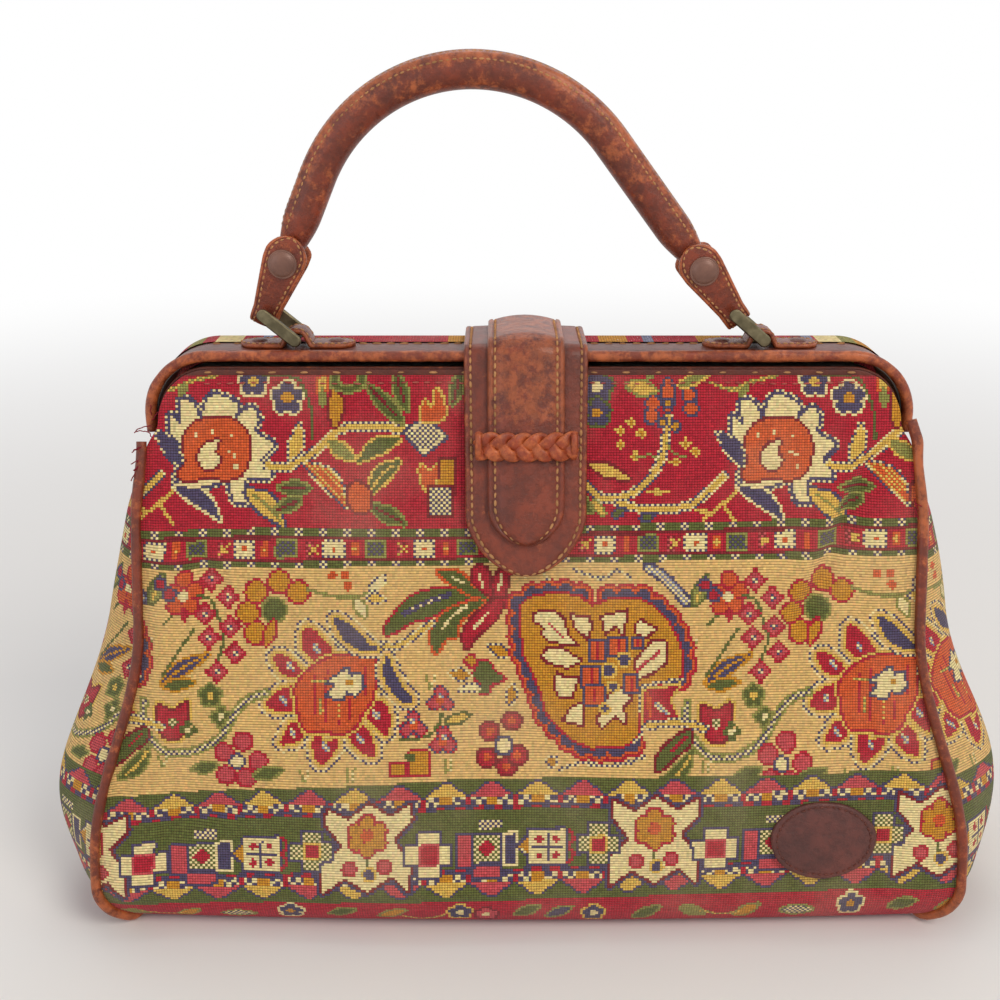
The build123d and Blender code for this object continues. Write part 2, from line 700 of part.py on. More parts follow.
def handle_end(side):
    """Folded end of the handle, closed over the bar of its ring."""
    centre = loop_centre(side)
    cap = centre + leg_direction(side) * CAP_FROM_LOOP
    small = Circle(LOOP_RADIUS).moved(Location((centre.X, centre.Y, 0)))
    large = Circle(FLAP_RADIUS).moved(Location((cap.X, cap.Y, 0)))
    face = make_hull(small.edges() + large.edges())
    block = extrude(Plane.XZ * face, LOOP_THICK / 2, both=True)
    rims = block.edges().group_by(Axis.Y)
    block = chamfer(rims[0] + rims[-1], LOOP_EDGE)
    bore = Cylinder(RING_BAR + BAR_PLAY, 2 * LOOP_THICK, rotation=(90, 0, 0))
    block = block - bore.moved(Location((centre.X, 0, centre.Y)))
    return block.moved(Location((0, HANDLE_Y, 0)))


def swept_round(path, radius):
    start = Plane(origin=path @ 0, z_dir=path % 0)
    return sweep(start * Circle(radius), path=path)


def swept_core(radius):
    """Filler cord of the handle, with flat sides."""
    path = handle_path()
    start = Plane(origin=path @ 0, z_dir=path % 0)
    return sweep(start * RegularPolygon(radius, CORD_SIDES), path=path)


def post_room(side, radius):
    cap = loop_centre(side) + leg_direction(side) * CAP_FROM_LOOP
    post = Cylinder(radius, 4 * LOOP_THICK, rotation=(90, 0, 0))
    return post.moved(Location((cap.X, HANDLE_Y, cap.Y)))


def handle():
    room = swept_core(CORE_RADIUS + FIT)
    for side in (-1, 1):
        room = room - post_room(side, FLAP_RADIUS)
    body = swept_round(handle_path(), HANDLE_RADIUS) + handle_end(-1) + handle_end(1)
    body = body - room
    for side in (-1, 1):
        body = body - post_room(side, POST_RADIUS + LAYER_GAP)
    return body


def handle_core():
    core = swept_core(CORE_RADIUS)
    for side in (-1, 1):
        core = core - post_room(side, FLAP_RADIUS + FIT)
    return core


def snap_cap(side):
    """Domed cap in front, its post through the folded end and its flat head behind."""
    seat = max(LOOP_THICK / 2, HANDLE_RADIUS) + LAYER_GAP
    dome = Cylinder(CAP_RADIUS, CAP_HEIGHT, align=(Align.CENTER, Align.CENTER, Align.MIN))
    dome = chamfer(dome.faces().sort_by(Axis.Z)[-1].edges(), CAP_HEIGHT * CAP_SLOPE)
    head = Cylinder(CAP_RADIUS * CAP_BACK, CAP_HEIGHT / 2, align=(Align.CENTER, Align.CENTER, Align.MAX))
    post = Cylinder(POST_RADIUS, 2 * seat + CAP_HEIGHT / 2)
    cap = dome.moved(Location((0, 0, seat))) + head.moved(Location((0, 0, -seat))) + post
    spot = loop_centre(side) + leg_direction(side) * CAP_FROM_LOOP
    return cap.moved(Location((spot.X, HANDLE_Y, spot.Y), (90, 0, 0)))


def oval_patch():
    """Stitched oval label ground near the lower right corner of the front."""
    share = PATCH_X / (seam_x(PATCH_Z) - SEAM_GAP)
    bow = half_depth(PATCH_Z) - seam_y(PATCH_Z)
    depth = half_depth(PATCH_Z) - bow * share ** 2 + FIT
    turn = degrees(atan2(2 * bow * share, seam_x(PATCH_Z)))
    disc = extrude(Ellipse(PATCH_WIDTH / 2, PATCH_HEIGHT / 2), PATCH_THICK)
    disc = chamfer(disc.faces().sort_by(Axis.Z)[-1].edges(), EDGE_BREAK)
    facing = Location((PATCH_X, -depth, PATCH_Z), (90 - front_slope(PATCH_Z), 0, 0))
    return disc.moved(facing * Location((0, 0, 0), (0, turn, 0)))


def save(name, shape):
    solids = shape if isinstance(shape, list) else list(shape.solids())
    kept = solids[0] if len(solids) == 1 else Compound(children=solids)
    kept.label = name
    export_step(kept, f"parts/{name}.step")
    return kept


PIECES = {
    "front_panel": lambda: lower_panel(-1),
    "rear_panel": lambda: lower_panel(1),
    "front_panel_top": front_panel_top,
    "rear_panel_top": rear_panel_top,
    "base_panel": base_panel,
    "base_board": base_board,
    "lining": lining,
    "gusset_left": lambda: gusset(-1),
    "gusset_right": lambda: gusset(1),
    "piping_left": lambda: piping(-1),
    "piping_right": lambda: piping(1),
    "rear_frame": rear_frame,
    "front_frame": front_frame,
    "rear_top_leather": rear_top_leather,
    "rolled_edge": rolled_edge,
    "front_edging": front_edging,
    "hinge_rivet_left": lambda: hinge_rivet(-1),
    "hinge_rivet_right": lambda: hinge_rivet(1),
    "closing_tab": closing_tab,
    "inner_strap": inner_strap,
    "tab_back": tab_back,
    "braided_keeper": braided_keeper,
    "snap_socket": lambda: snap_half(FIT, SNAP_THICK),
    "snap_stud": lambda: snap_half(2 * FIT + SNAP_THICK, SNAP_THICK),
    "chape_left": lambda: chape(-1),
    "chape_right": lambda: chape(1),
    "ring_left": lambda: ring(-1),
    "ring_right": lambda: ring(1),
    "handle": handle,
    "handle_core": handle_core,
    "snap_cap_left": lambda: snap_cap(-1),
    "snap_cap_right": lambda: snap_cap(1),
    "oval_patch": oval_patch,
}

os.makedirs("parts", exist_ok=True)
for name, make in PIECES.items():
    save(name, make())
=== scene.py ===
"""Framed carpet bag: tapestry body, hinged frame, closing tab with a plaited keeper, rolled handle.

Lengths are metres in the scene and millimetres in the sizes below. The front faces -Y and Z is up.
"""

import math

import bpy
import numpy as np
from bpy.props import FloatProperty, FloatVectorProperty, IntProperty, PointerProperty
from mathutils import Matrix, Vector


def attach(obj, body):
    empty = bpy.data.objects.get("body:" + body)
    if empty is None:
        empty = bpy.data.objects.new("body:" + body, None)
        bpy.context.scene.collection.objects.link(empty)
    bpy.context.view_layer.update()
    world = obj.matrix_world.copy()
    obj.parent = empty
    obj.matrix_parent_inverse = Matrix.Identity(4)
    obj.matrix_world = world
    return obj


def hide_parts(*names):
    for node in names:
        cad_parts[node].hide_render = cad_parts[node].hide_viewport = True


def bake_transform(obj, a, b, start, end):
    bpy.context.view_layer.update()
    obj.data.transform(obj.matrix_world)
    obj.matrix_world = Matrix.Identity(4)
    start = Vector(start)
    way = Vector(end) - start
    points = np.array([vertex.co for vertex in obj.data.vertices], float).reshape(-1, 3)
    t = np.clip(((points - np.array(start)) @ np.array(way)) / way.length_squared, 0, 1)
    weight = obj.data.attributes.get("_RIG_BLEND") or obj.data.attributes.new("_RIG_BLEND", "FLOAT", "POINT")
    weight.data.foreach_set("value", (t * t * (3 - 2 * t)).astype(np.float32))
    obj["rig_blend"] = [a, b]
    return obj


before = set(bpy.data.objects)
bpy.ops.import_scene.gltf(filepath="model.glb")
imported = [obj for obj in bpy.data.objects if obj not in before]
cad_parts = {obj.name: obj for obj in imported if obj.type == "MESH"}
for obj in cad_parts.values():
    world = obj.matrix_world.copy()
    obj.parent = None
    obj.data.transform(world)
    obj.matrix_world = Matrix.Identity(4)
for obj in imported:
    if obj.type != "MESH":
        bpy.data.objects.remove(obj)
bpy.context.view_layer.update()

bl_info = {
    "name": "Framed Carpet Bag",
    "version": (1, 0, 0),
    "blender": (4, 5, 0),
    "location": "3D View > Sidebar > Carpet Bag",
    "description": "Makes a framed tapestry bag with leather trim, stitch by stitch",
    "category": "Object",
}

MM = 0.001
BAG_HEIGHT = 232.0
MOUTH_HALF, WAIST_GAIN, WIDEST_HALF, WIDEST_Z, FLARE_TOP_Z = 151.0, 3.0, 175.0, 34.0, 128.0
MOUTH_HALF_DEPTH, BASE_HALF_DEPTH, BELLY = 17.0, 74.0, 3.0
BASE_ROUND_Z, BASE_ROUND_Y, CORNER_ROUND_Z, CORNER_ROUND_X = 22.0, 16.0, 24.0, 20.0
PANEL_BOW, LOBE_REACH, LOBE_HEIGHT_POWER, CREASE_DEPTH = 4.0, 26.0, 0.66, 14.0
HINGE_Z, HINGE_DROP = 199.0, 33.0
LEATHER_TOP_Z, FRAME_CORNER = 231.6, 24.0
FRONT_BAR_HALF, FRONT_BAR_TOP_Z, FRONT_CORNER = 145.8, 225.8, 19.9
ROLL_HALF, ROLL_Z, ROLL_Y, ROLL_RADIUS = 150.6, 230.4, -15.4, 2.2
PIPING_RADIUS, PIPING_OUT, PIPING_BEND = 2.1, 1.1, 14.0
TAB_X, TAB_THICK, TAB_TIP_Z, TAB_POINT = -1.5, 2.4, 150.0, 30.0
STRAP_THICK, STRAP_TIP_Z, STRAP_POINT = 2.8, 162.0, 16.0
TAB_TOP_Z, SNAP_Z, TAB_STANDOFF = 232.9, 168.0, 3.4
HANDLE_Y, CHAPE_X, RING_LENGTH, RING_LEAN, RING_FOOT_Z = -2.0, 92.5, 15.4, 50.0, 235.5
LEFT_LEG, RIGHT_LEG, HANDLE_RISE, HANDLE_SLOPE = 66.5, 52.5, 91.0, 3.0
LEFT_SHOULDER, RIGHT_SHOULDER, HANDLE_RADIUS, CAP_UP = 65.0, 67.0, 7.2, 22.0
PATCH_X, PATCH_Z, PATCH_WIDTH, PATCH_HEIGHT = 118.7, 43.7, 43.0, 32.0


def srgb(red, green, blue):
    """Colour as the eye reads it, 0 to 255, turned into the linear colour that shaders take."""
    parts = [c / 255 for c in (red, green, blue)]
    return tuple(c / 12.92 if c < 0.04045 else ((c + 0.055) / 1.055) ** 2.4 for c in parts)


class BagCloth(bpy.types.PropertyGroup):
    """Sizes of the tapestry and its cloth."""

    pitch: FloatProperty(name="Stitch pitch", description="Width of one stitch of the tapestry",
                         default=0.00106, unit="LENGTH", precision=5)
    relief: FloatProperty(name="Weave relief", description="Height of the ribs of the weave",
                          default=0.00042, unit="LENGTH", precision=5)
    slack: FloatProperty(name="Slack", description="How far the cloth dents and sags, 1 is as worn",
                         default=1.0, min=0.0, max=2.0)
    seed: IntProperty(name="Seed", description="Seed of the uneven dye and of the loose threads",
                      default=7)
    lining: FloatVectorProperty(name="Lining", description="Colour of the lining", subtype="COLOR",
                                default=srgb(146, 112, 78), min=0.0, max=1.0)


class BagLeather(bpy.types.PropertyGroup):
    """Colours of the leather and its thread."""

    body: FloatVectorProperty(name="Leather", description="Main colour of the leather",
                              subtype="COLOR", default=srgb(134, 52, 22), min=0.0, max=1.0)
    shade: FloatVectorProperty(name="Dark leather", description="Colour of the darker patches",
                               subtype="COLOR", default=srgb(78, 28, 12), min=0.0, max=1.0)
    worn: FloatVectorProperty(name="Worn leather",
                              description="Colour where the finish has rubbed off",
                              subtype="COLOR", default=srgb(208, 112, 58), min=0.0, max=1.0)
    thread: FloatVectorProperty(name="Sewing thread", description="Colour of the stitching",
                                subtype="COLOR", default=srgb(246, 180, 120), min=0.0, max=1.0)
    pitch: FloatProperty(name="Stitch spacing", description="Distance between stitches",
                         default=0.0031, unit="LENGTH", precision=4)
    bronze: FloatVectorProperty(name="Ring metal", description="Colour of the rings",
                                subtype="COLOR",
                                default=srgb(128, 118, 92), min=0.0, max=1.0)


class BagStage(bpy.types.PropertyGroup):
    """Floor, lamps and camera."""

    lens: FloatProperty(name="Lens", description="Focal length on a 36 mm film, in millimetres",
                        default=45.0)
    key: FloatProperty(name="Main lamp", description="Power of the main lamp in watts",
                       default=15.0)
    floor: FloatVectorProperty(name="Floor", description="Colour of the floor", subtype="COLOR",
                               default=srgb(236, 233, 228), min=0.0, max=1.0)


# ---- body of the bag, in millimetres

def smooth(t):
    t = np.clip(t, 0.0, 1.0)
    return t * t * (3 - 2 * t)


def round_in(z, height, reach):
    share = np.clip((height - z) / height, 0.0, 1.0)
    return reach * (1 - np.sqrt(1 - share * share))


def seam_x(z):
    waist = MOUTH_HALF + WAIST_GAIN * smooth((HINGE_Z - z) / HINGE_DROP)
    flare = smooth((FLARE_TOP_Z - z) / (FLARE_TOP_Z - WIDEST_Z))
    return waist + (WIDEST_HALF - waist) * flare - round_in(z, CORNER_ROUND_Z, CORNER_ROUND_X)


def half_depth(z):
    down = (BAG_HEIGHT - z) / (BAG_HEIGHT - BASE_ROUND_Z)
    swell = BELLY * np.sin(np.pi * np.clip(down, 0.0, 1.0))
    depth = MOUTH_HALF_DEPTH + (BASE_HALF_DEPTH - MOUTH_HALF_DEPTH) * np.minimum(down, 1.0)
    return depth + swell - round_in(z, BASE_ROUND_Z, BASE_ROUND_Y)


def panel_bow(z):
    """How far the middle of a panel stands out past its seams."""
    return PANEL_BOW * smooth((BAG_HEIGHT - z) / BAG_HEIGHT + 0.25)


def seam_y(z):
    return half_depth(z) - panel_bow(z)


def lobe_x(z):
    share = np.clip(z / HINGE_Z, 0.0, 1.0)
    return seam_x(z) + LOBE_REACH * np.sin(np.pi * share ** LOBE_HEIGHT_POWER)


def crease_x(z):
    return lobe_x(z) - CREASE_DEPTH * np.clip(z / HINGE_Z, 0.0, 1.0) ** 0.4


# ---- meshes

def hand(side):
    return "left" if side < 0 else "right"


def in_scene(name, data):
    """New object of the scene with this mesh, lamp or camera."""
    thing = bpy.data.objects.new(name, data)
    bpy.context.scene.collection.objects.link(thing)
    return thing


def make_piece(name, points, faces, material, body=None, slot=None, replaces=()):
    """Finished piece from points in millimetres; it rides on body when one is named."""
    mesh = bpy.data.meshes.new(name)
    mesh.from_pydata((np.asarray(points, float) * MM).tolist(), [], [list(f) for f in faces])
    mesh.update()
    piece = in_scene(name, mesh)
    mesh.materials.append(material)
    mesh.polygons.foreach_set("use_smooth", [True] * len(mesh.polygons))
    if body:
        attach(piece, body)
    if replaces:
        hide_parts(*replaces)
    return piece


def wear_values(piece, values):
    """One value of wear for each point, new or over the old ones."""
    layers = piece.data.attributes
    layer = layers.get("Wear") or layers.new("Wear", "FLOAT", "POINT")
    layer.data.foreach_set("value", np.asarray(values, np.float32).ravel())


def corner_uv(piece, name, pairs):
    """UV map from one pair of lengths for each face corner."""
    layer = piece.data.uv_layers.new(name=name)
    layer.data.foreach_set("uv", np.asarray(pairs, np.float32).ravel())


def unit(v):
    v = np.asarray(v, float)
    return v / np.maximum(np.linalg.norm(v, axis=-1, keepdims=True), 1e-9)


def along(points):
    """Length run at each point of a line."""
    steps = np.linalg.norm(np.diff(points, axis=0), axis=1)
    return np.concatenate([[0.0], np.cumsum(steps)])


def tangents(points):
    return unit(np.gradient(np.asarray(points, float), axis=0))


def resample(points, count):
    points = np.asarray(points, float)
    run = along(points)
    spots = np.linspace(0, run[-1], count)
    return np.stack([np.interp(spots, run, points[:, k]) for k in range(3)], 1)


def ring_faces(rings, sides, flip=False):
    """Faces between rings of points, and one across each end."""
    faces = []
    for r in range(rings - 1):
        for s in range(sides):
            n = (s + 1) % sides
            quad = (r * sides + s, r * sides + n, (r + 1) * sides + n, (r + 1) * sides + s)
            faces.append(quad[::-1] if flip else quad)
    first = tuple(range(sides))
    end = tuple((rings - 1) * sides + s for s in range(sides))
    return faces + [first if flip else first[::-1], end[::-1] if flip else end]


def rope(name, line, radius, side_hint, material, sides=14, squash=1.0, shape=None, **finish):
    """Round cord along a line; shape gives a multiplier of the radius for each angle."""
    line = np.asarray(line, float)
    way = tangents(line)
    first = np.asarray(side_hint, float)
    across = unit(first - way * (way @ first)[:, None])
    out = np.cross(way, across)
    radius = np.broadcast_to(np.asarray(radius, float), (len(line),))
    angles = np.linspace(0, 2 * np.pi, sides, endpoint=False)
    size = np.ones(sides) if shape is None else shape(angles)
    rings = []
    for spot, a, o, r in zip(line, across, out, radius):
        rings.append(spot + r * size[:, None] * (np.cos(angles)[:, None] * a
                                                 + squash * np.sin(angles)[:, None] * o))
    points = np.concatenate(rings)
    piece = make_piece(name, points, ring_faces(len(line), sides), material, **finish)
    grain_uv(piece, along(line), angles / (2 * np.pi) * 6.3 * radius.mean(), sides)
    return piece


def grain_uv(piece, runs, rounds, sides):
    """UV map in metres, along the piece and across it."""
    pairs = []
    for face in piece.data.polygons:
        for index in face.vertices:
            ring, side = divmod(index, sides)
            pairs.append((runs[min(ring, len(runs) - 1)] * MM, rounds[side % sides] * MM))
    corner_uv(piece, "Grain", pairs)


def strap(name, spine, across, half, thick, material, crown=0.0, groove=0.0, groove_in=2.5,
          wear=0.35, slot="brown_leather", **finish):
    """Leather strap on its spine: rounded edges, a domed face and a groove under its stitching."""
    spine = np.asarray(spine, float)
    way = tangents(spine)
    across = unit(np.broadcast_to(np.asarray(across, float), spine.shape)
                  - way * np.sum(way * across, 1)[:, None])
    out = unit(np.cross(across, way))
    half = np.broadcast_to(np.asarray(half, float), (len(spine),))
    edge_turns = np.radians([-90, -50, -15, 20, 55, 90])
    inner = np.array([0.9, 0.75, 0.5, 0.25, 0.0, -0.25, -0.5, -0.75, -0.9])
    rings, worn, rounds = [], [], []
    for spot, a, o, h in zip(spine, across, out, half):
        r = min(thick / 2, max(h, 0.02))
        flat = max(h - r, 0.0)
        lift = 2 * r
        right = [(flat + r * math.cos(t), r + r * math.sin(t)) for t in edge_turns]
        steps = [flat - groove_in + r + 0.9, flat - groove_in + r, flat - groove_in + r - 0.9]
        steps = [max(s, flat * k) for s, k in zip(steps, (0.97, 0.93, 0.9))]
        top = [(steps[0], lift), (steps[1], lift - groove * min(1.0, flat / 3)), (steps[2], lift)]
        rest = steps[2]
        top += [(rest * k, lift + crown * (1 - k * k) * min(1.0, flat / 4)) for k in inner[1:-1]]
        top += [(-s, z) for s, z in reversed(top[:3])]
        left = [(-s, z) for s, z in reversed(right)]
        profile = right + top + left
        rings.append([spot + s * a + z * o for s, z in profile])
        last = len(profile) - 6
        worn.append([1.0 if k < 6 or k >= last else wear * 0.25 for k in range(len(profile))])
        rounds.append([s for s, _ in profile])
    sides = len(rings[0])
    points = np.concatenate([np.array(r) for r in rings])
    piece = make_piece(name, points, ring_faces(len(spine), sides, flip=True), material, slot=slot,
                       **finish)
    wear_values(piece, np.array(worn) * wear)
    runs, widths = along(spine), np.array(rounds)
    pairs = [(runs[i // sides] * MM, widths[i // sides, i % sides] * MM)
             for face in piece.data.polygons for i in face.vertices]
    corner_uv(piece, "Grain", pairs)
    return piece


def bent_line(points, radii, step=1.5):
    """Straight runs joined by arcs, in a plane; points are rows of three coordinates."""
    points = [np.asarray(p, float) for p in points]
    line = [points[0]]
    for before, corner, after, radius in zip(points, points[1:], points[2:], radii):
        first, second = unit(before - corner), unit(after - corner)
        angle = math.acos(np.clip(first @ second, -1, 1))
        reach = radius / math.tan(angle / 2)
        middle = corner + unit(first + second) * radius / math.sin(angle / 2)
        start, end = corner + first * reach - middle, corner + second * reach - middle
        sweep = math.pi - angle
        count = max(4, int(radius * sweep / step))
        for k in range(count + 1):
            part = k / count
            line.append(middle + (math.sin((1 - part) * sweep) * start
                                  + math.sin(part * sweep) * end) / math.sin(sweep))
    line.append(points[-1])
    line = np.array(line)
    return resample(line, max(8, int(along(line)[-1] / step)))


# ---- materials

def new_material(name):
    material = bpy.data.materials.new(name)
    material.use_nodes = True
    tree = material.node_tree
    shader = tree.nodes["Principled BSDF"]
    return material, tree, shader


def fit(node, values):
    """Sets the sockets and the options of a node; a number stands for a socket by its place."""
    for key, value in values.items():
        if isinstance(key, int) or key in node.inputs:
            node.inputs[key].default_value = value
        else:
            setattr(node, key, value)
    return node


def add(tree, kind, **values):
    return fit(tree.nodes.new(kind), values)


def math_node(tree, operation, *values, clamp=False):
    node = add(tree, "ShaderNodeMath", operation=operation, use_clamp=clamp)
    for socket, value in zip(node.inputs, values):
        if isinstance(value, (int, float)):
            socket.default_value = value
        else:
            tree.links.new(value, socket)
    return node.outputs[0]


def mix_colour(tree, factor, first, second, blend="MIX"):
    node = tree.nodes.new("ShaderNodeMix")
    node.data_type = "RGBA"
    node.blend_type = blend
    sockets = (node.inputs[0], node.inputs[6], node.inputs[7])
    for socket, value in zip(sockets, (factor, first, second)):
        if isinstance(value, (int, float)):
            socket.default_value = value
        elif isinstance(value, tuple):
            socket.default_value = (*value, 1.0) if len(value) == 3 else value
        else:
            tree.links.new(value, socket)
    return node.outputs[2]


def noise(tree, vector, scale, detail=4.0, roughness=0.5):
    node = add(tree, "ShaderNodeTexNoise", Scale=scale, Detail=detail, Roughness=roughness)
    tree.links.new(vector, node.inputs["Vector"])
    return node.outputs["Fac"]


def ramp(tree, value, low, high):
    node = add(tree, "ShaderNodeMapRange", **{"From Min": low, "From Max": high})
    node.interpolation_type = "SMOOTHSTEP"
    tree.links.new(value, node.inputs["Value"])
    return node.outputs[0]


def bump(tree, shader, height, depth, strength=1.0, chain=None):
    node = add(tree, "ShaderNodeBump", Strength=strength, Distance=depth)
    tree.links.new(height, node.inputs["Height"])
    if chain:
        tree.links.new(chain, node.inputs["Normal"])
    tree.links.new(node.outputs[0], shader.inputs["Normal"])
    return node.outputs[0]


def tapestry_material(cloth):
    """Tapestry: one colour for each stitch, ribs across, fine gaps between them darkened with painted shade,
    and faded patches.
    """
    material, tree, shader = new_material("Tapestry")
    dye = add(tree, "ShaderNodeVertexColor", layer_name="Thread")
    stitches = add(tree, "ShaderNodeUVMap", uv_map="Weave")
    place = add(tree, "ShaderNodeTexCoord").outputs["Object"]
    split = add(tree, "ShaderNodeSeparateXYZ")
    tree.links.new(stitches.outputs[0], split.inputs[0])
    waves = []
    for output in ("X", "Y"):
        turn = math_node(tree, "MULTIPLY", split.outputs[output], math.pi)
        waves.append(math_node(tree, "ABSOLUTE", math_node(tree, "SINE", turn)))
    rib = math_node(tree, "POWER", waves[1], 0.6)
    column = math_node(tree, "SUBTRACT", 1.0, math_node(tree, "POWER", waves[0], 0.6))
    notch = math_node(tree, "MULTIPLY", dye.outputs["Alpha"], 0.75)
    notch = math_node(tree, "MULTIPLY", column, notch)
    knot = math_node(tree, "SUBTRACT", 1.0, notch)
    raised = math_node(tree, "MULTIPLY", rib, knot)
    height = math_node(tree, "MULTIPLY_ADD", noise(tree, place, 2600.0, 2.0), 0.25, raised)
    # painted shade: the colour darkens in the low gaps between the ribs and columns of stitches
    shade = ramp(tree, raised, 0.05, 0.75)
    base = mix_colour(tree, shade, (0.34, 0.22, 0.17), (1.0, 1.0, 1.0))
    colour = mix_colour(tree, 1.0, dye.outputs["Color"], base, "MULTIPLY")
    patches = ramp(tree, noise(tree, place, 22.0, 5.0, 0.6), 0.42, 0.75)
    faded = mix_colour(tree, math_node(tree, "MULTIPLY", patches, 0.16), colour,
                       srgb(214, 190, 158))
    uneven = noise(tree, place, 900.0, 2.0)
    tone = add(tree, "ShaderNodeMapRange", **{"To Min": 0.82, "To Max": 1.16})
    tree.links.new(uneven, tone.inputs["Value"])
    final = mix_colour(tree, 1.0, faded, tone.outputs[0], "MULTIPLY")
    tree.links.new(final, shader.inputs["Base Color"])
    fit(shader, {"Roughness": 0.88, "Specular IOR Level": 0.2, "Sheen Weight": 0.12})
    bump(tree, shader, height, cloth.relief, 0.9)
    return material


def leather_material(name, body, shade, worn, rub=0.5, gloss=0.3, grain=1.0, colour_scale=38.0):
    """Leather: mottled colour, fine grain, cracks, pale rubbed places on edges and creases, and painted
    shade in the creases.
    """
    material, tree, shader = new_material(name)
    place = add(tree, "ShaderNodeTexCoord").outputs["Object"]
    mottle = ramp(tree, noise(tree, place, colour_scale, 6.0, 0.62), 0.34, 0.68)
    mottle = math_node(tree, "MULTIPLY_ADD", mottle, 0.62, 0.38)
    colour = mix_colour(tree, mottle, tuple(shade), tuple(body))
    cells = add(tree, "ShaderNodeTexVoronoi", Scale=950.0)
    cells.feature = "DISTANCE_TO_EDGE"
    tree.links.new(place, cells.inputs["Vector"])
    pebble = ramp(tree, cells.outputs["Distance"], 0.0, 0.12)
    creases = ramp(tree, noise(tree, place, 240.0, 6.0, 0.72), 0.36, 0.6)
    scuffs = noise(tree, place, 210.0, 9.0, 0.74)
    regions = noise(tree, place, 60.0, 4.0, 0.6)
    edge = add(tree, "ShaderNodeAttribute", attribute_name="Wear").outputs["Fac"]
    reach = math_node(tree, "MULTIPLY_ADD", regions, 0.26, 0.01)
    reach = math_node(tree, "MULTIPLY_ADD", edge, 0.3, reach)
    rubbed = ramp(tree, math_node(tree, "ADD", reach, scuffs), 0.80 - 0.12 * rub, 0.96 - 0.10 * rub)
    rubbed = math_node(tree, "MULTIPLY", rubbed, 0.3 + 0.5 * rub)
    colour = mix_colour(tree, rubbed, colour, tuple(worn))
    # painted shade: the colour darkens in the creases of the grain, where the crease bump sinks
    deep = math_node(tree, "MULTIPLY", math_node(tree, "SUBTRACT", 1.0, creases), 0.38)
    crease_shaded = mix_colour(tree, deep, colour, tuple(0.35 * c for c in shade))
    tree.links.new(crease_shaded, shader.inputs["Base Color"])
    rough = add(tree, "ShaderNodeMapRange", **{"To Min": gloss, "To Max": gloss + 0.22})
    tree.links.new(scuffs, rough.inputs["Value"])
    tree.links.new(rough.outputs[0], shader.inputs["Roughness"])
    fit(shader, {"Specular IOR Level": 0.38, "Coat Weight": 0.22, "Coat Roughness": gloss - 0.08})
    first = bump(tree, shader, creases, 0.00035 * grain, 0.55)
    bump(tree, shader, pebble, 0.0001 * grain, 0.5, first)
    return material


def metal_material(name, colour, dark, rough, scale=160.0, metallic=1.0):
    """Cast or pressed metal with a dull, handled finish and fine scratches."""
    material, tree, shader = new_material(name)
    place = add(tree, "ShaderNodeTexCoord").outputs["Object"]
    tarnish = ramp(tree, noise(tree, place, scale, 5.0, 0.6), 0.35, 0.7)
    tree.links.new(mix_colour(tree, tarnish, tuple(dark), tuple(colour)),
                   shader.inputs["Base Color"])
    scratch = noise(tree, place, 1400.0, 3.0, 0.7)
    spread = add(tree, "ShaderNodeMapRange", **{"To Min": rough, "To Max": rough + 0.22})
    tree.links.new(scratch, spread.inputs["Value"])
    tree.links.new(spread.outputs[0], shader.inputs["Roughness"])
    shader.inputs["Metallic"].default_value = metallic
    bump(tree, shader, scratch, 0.00005, 0.4)
    return material


def cloth_material(name, colour, dark, scale=1100.0, depth=0.00018):
    """Plain woven cloth or twisted thread: fine ribs from crossed waves, painted shade in the hollows
    between them, uneven tone, matt.
    """
    material, tree, shader = new_material(name)
    place = add(tree, "ShaderNodeTexCoord").outputs["Object"]
    heights = []
    for direction in ("X", "Z"):
        wave = add(tree, "ShaderNodeTexWave", Scale=scale / 3, Distortion=1.2, Detail=2.0)
        wave.bands_direction = direction
        tree.links.new(place, wave.inputs["Vector"])
        heights.append(wave.outputs["Fac"])
    height = math_node(tree, "ADD", heights[0], heights[1])
    tone = ramp(tree, noise(tree, place, 60.0, 5.0, 0.6), 0.3, 0.72)
    base = mix_colour(tree, tone, tuple(dark), tuple(colour))
    # painted shade: the colour darkens where the woven ribs sink
    deep = mix_colour(tree, math_node(tree, "MULTIPLY", height, 0.5, clamp=True),
                      tuple(0.6 * c for c in dark), base)
    tree.links.new(deep, shader.inputs["Base Color"])
    fit(shader, {"Roughness": 0.86, "Specular IOR Level": 0.2})
    bump(tree, shader, height, depth, 0.6)
    return material


MATERIALS = {}


